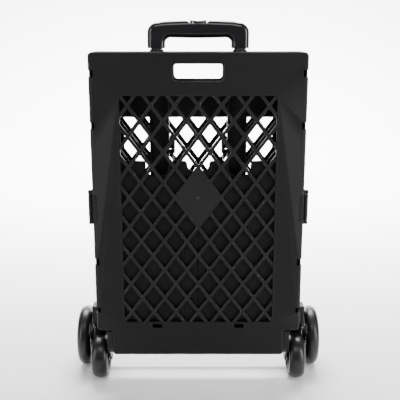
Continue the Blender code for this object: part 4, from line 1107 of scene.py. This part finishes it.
def carrier(node, axle, outline, bore):
    """A moulded carrier as wide as its CAD node, with rounded edges and a bore for its axle."""
    low_x, high_x = span(node, "x")
    hole = circle(depth_of(axle), middle(axle, "z"), bore)
    bm = bmesh.new()
    moulding(bm, [(outline, False, rolled(CARRIER_ROLL, low_x, high_x, 4)),
                  (hole, True, rolled(0.0003, low_x, high_x, 2))], upright)
    return bm, low_x, high_x


def make_rear_carriers():
    face = BACK_FACE + 0.0003
    lower = rounded([(face, REAR_ARM_TOP, 0.0016), (face, 0.110, 0.002), (0.1070, 0.104, 0.004),
                     (0.1070, 0.060, 0.004), (0.1110, 0.054, 0.003), (0.1210, 0.054, 0.004),
                     (0.1270, 0.060, 0.006), (0.1285, 0.110, 0.020), (0.1084, REAR_ARM_TOP, 0.004)], 5)
    upper = rounded([(face, 0.190, 0.0016), (face, REAR_ARM_TOP - 0.004, 0.0016),
                     (0.1095, REAR_ARM_TOP - 0.004, 0.0016), (0.1095, 0.1465, 0.004),
                     (face + 0.006, 0.190, 0.004)], 5)
    for side, letter in SIDES:
        node = "rear_bracket_" + letter
        bm, low_x, high_x = carrier(node, "rear_axle", lower, 0.0053)
        narrow = (low_x, REAR_ARM_X) if side > 0 else (-REAR_ARM_X, high_x)
        moulding(bm, [(upper, False, rolled(CARRIER_ROLL, *narrow, 4))], upright)
        for x in (low_x + 0.010, high_x - 0.014):
            soft_box(bm, (x, 0.1120, 0.090), (x + 0.004, 0.1284, 0.112), 0.0006)
        finish_piece("rear_carrier_" + letter, bm, "back", "housing_plastic", node)


def make_front_carriers():
    outline = rounded([(0.006, 0.1222, 0.0016), (0.006, 0.084, 0.006), (0.0415, 0.0400, 0.006),
                       (0.0580, 0.0400, 0.004), (0.0595, 0.0470, 0.004), (0.0580, 0.0580, 0.005),
                       (0.0290, 0.0930, 0.008), (0.0290, 0.1222, 0.0016)], 5)
    for side, letter in SIDES:
        node = "front_bracket_" + letter
        bm, _, _ = carrier(node, "front_axle_" + letter, outline, 0.0033)
        piece = finish_piece("front_carrier_" + letter, bm, "front", "housing_plastic", node)
        cut_box(piece, side, (FRONT_ARM_X[0], 0.0, 0.020), (FRONT_ARM_X[1], 0.090, FRONT_ARM_TOP), 0.0015, 3)


def make_latches():
    for side, letter in SIDES:
        node = "latch_" + letter
        x, depth = abs(middle("latch_pin_" + letter, "x")), depth_of("latch_pin_" + letter)
        low, high = span(node, "z")
        bm = bmesh.new()
        barrel(bm, side * x, depth, low, high, 0.0045, 0.0016)
        side_box(bm, side, (HALF_WIDTH + 0.0008, depth, low), (x + 0.0010, 0.0625, high), 0.0012, 3)
        side_box(bm, side, (x - 0.001, 0.052, low), (x + 0.0045, 0.0605, high), 0.0022, 4)
        for rib in (0.022, 0.029, 0.036, 0.043):
            side_box(bm, side, (x + 0.0004, rib, low + 0.006), (x + 0.0020, rib + 0.002, high - 0.006),
                     0.0006)
        finish_piece("side_clip_" + letter, bm, node, "latch_plastic", node)


# --- studio

def add_floor():
    """A pale sweep: a flat floor that curves up behind the trolley into a plain wall."""
    material, tree, shader, place = base_material("sweep_pale", specular=0.2)
    tint = mix_colour(tree, noise(tree, place, 3.0, 3.0), (0.88, 0.88, 0.88), (0.91, 0.91, 0.91))
    links(tree, (tint, shader.inputs["Base Color"]))
    set_inputs(shader, Roughness=0.8)
    bend, back = 1.6, 3.0
    curve = [(back - bend + bend * math.sin(t), bend * (1 - math.cos(t))) for t in quarter(16)]
    section = [(-16.0, 0.0), *curve, (back, 6.0)]
    bm = bmesh.new()
    rows = [[bm.verts.new((x, y, z)) for x in (-14.0, 14.0)] for y, z in section]
    for one, two in zip(rows, rows[1:]):
        bm.faces.new((one[0], one[1], two[1], two[0]))
    mesh = bpy.data.meshes.new("sweep")
    bm.to_mesh(mesh)
    bm.free()
    mesh.shade_smooth()
    floor = add_object("sweep", mesh)
    mesh.materials.append(material)


def add_light(name, place, target, width, height, power, spread=180):
    data = bpy.data.lights.new(name, "AREA")
    data.shape = "RECTANGLE"
    data.size, data.size_y, data.energy = width, height, power
    data.spread = math.radians(spread)
    light = add_object(name, data)
    light.location = place
    light.rotation_euler = (Vector(target) - Vector(place)).to_track_quat("-Z", "Y").to_euler()


def add_studio():
    world = bpy.data.worlds.new("studio")
    bpy.context.scene.world = world
    world.use_nodes = True
    set_inputs(world.node_tree.nodes["Background"], Color=(1.0, 1.0, 1.0, 1.0), Strength=0.30)
    add_light("strip_left", (-1.35, -1.0, 0.75), (-0.1, 0.0, 0.40), 0.4, 1.4, 13)
    add_light("strip_right", (1.35, -1.0, 0.75), (0.1, 0.0, 0.40), 0.4, 1.4, 27)
    add_light("high_front", (0.0, -1.5, 2.3), (0.0, 0.0, 0.65), 1.4, 0.5, 16)
    add_light("sweep_light", (0.0, 2.2, 3.4), (0.0, 2.1, 0.0), 3.8, 1.4, 430, 76)


def add_camera():
    """In front, level left to right and looking down a little."""
    data = bpy.data.cameras.new("camera")
    data.sensor_width = 36.0
    data.lens = 62.06
    data.shift_x = 0.0045
    camera = add_object("camera", data)
    camera.location = (0.0, FRONT_Y - 1.328, 0.729)
    camera.rotation_euler = (math.radians(90 - 13.66), 0.0, 0.0)
    bpy.context.scene.camera = camera


MATERIALS = make_materials()
make_front_shell()
make_back_shell()
make_base_panel()
make_sides()
make_pins()
make_housings()
make_tubes()
make_grip()
make_button()
for SIDE, LETTER in SIDES:
    make_wheel("rear", SIDE, LETTER)
    make_wheel("front", SIDE, LETTER)
make_rear_carriers()
make_front_carriers()
make_latches()
add_floor()
add_studio()
add_camera()
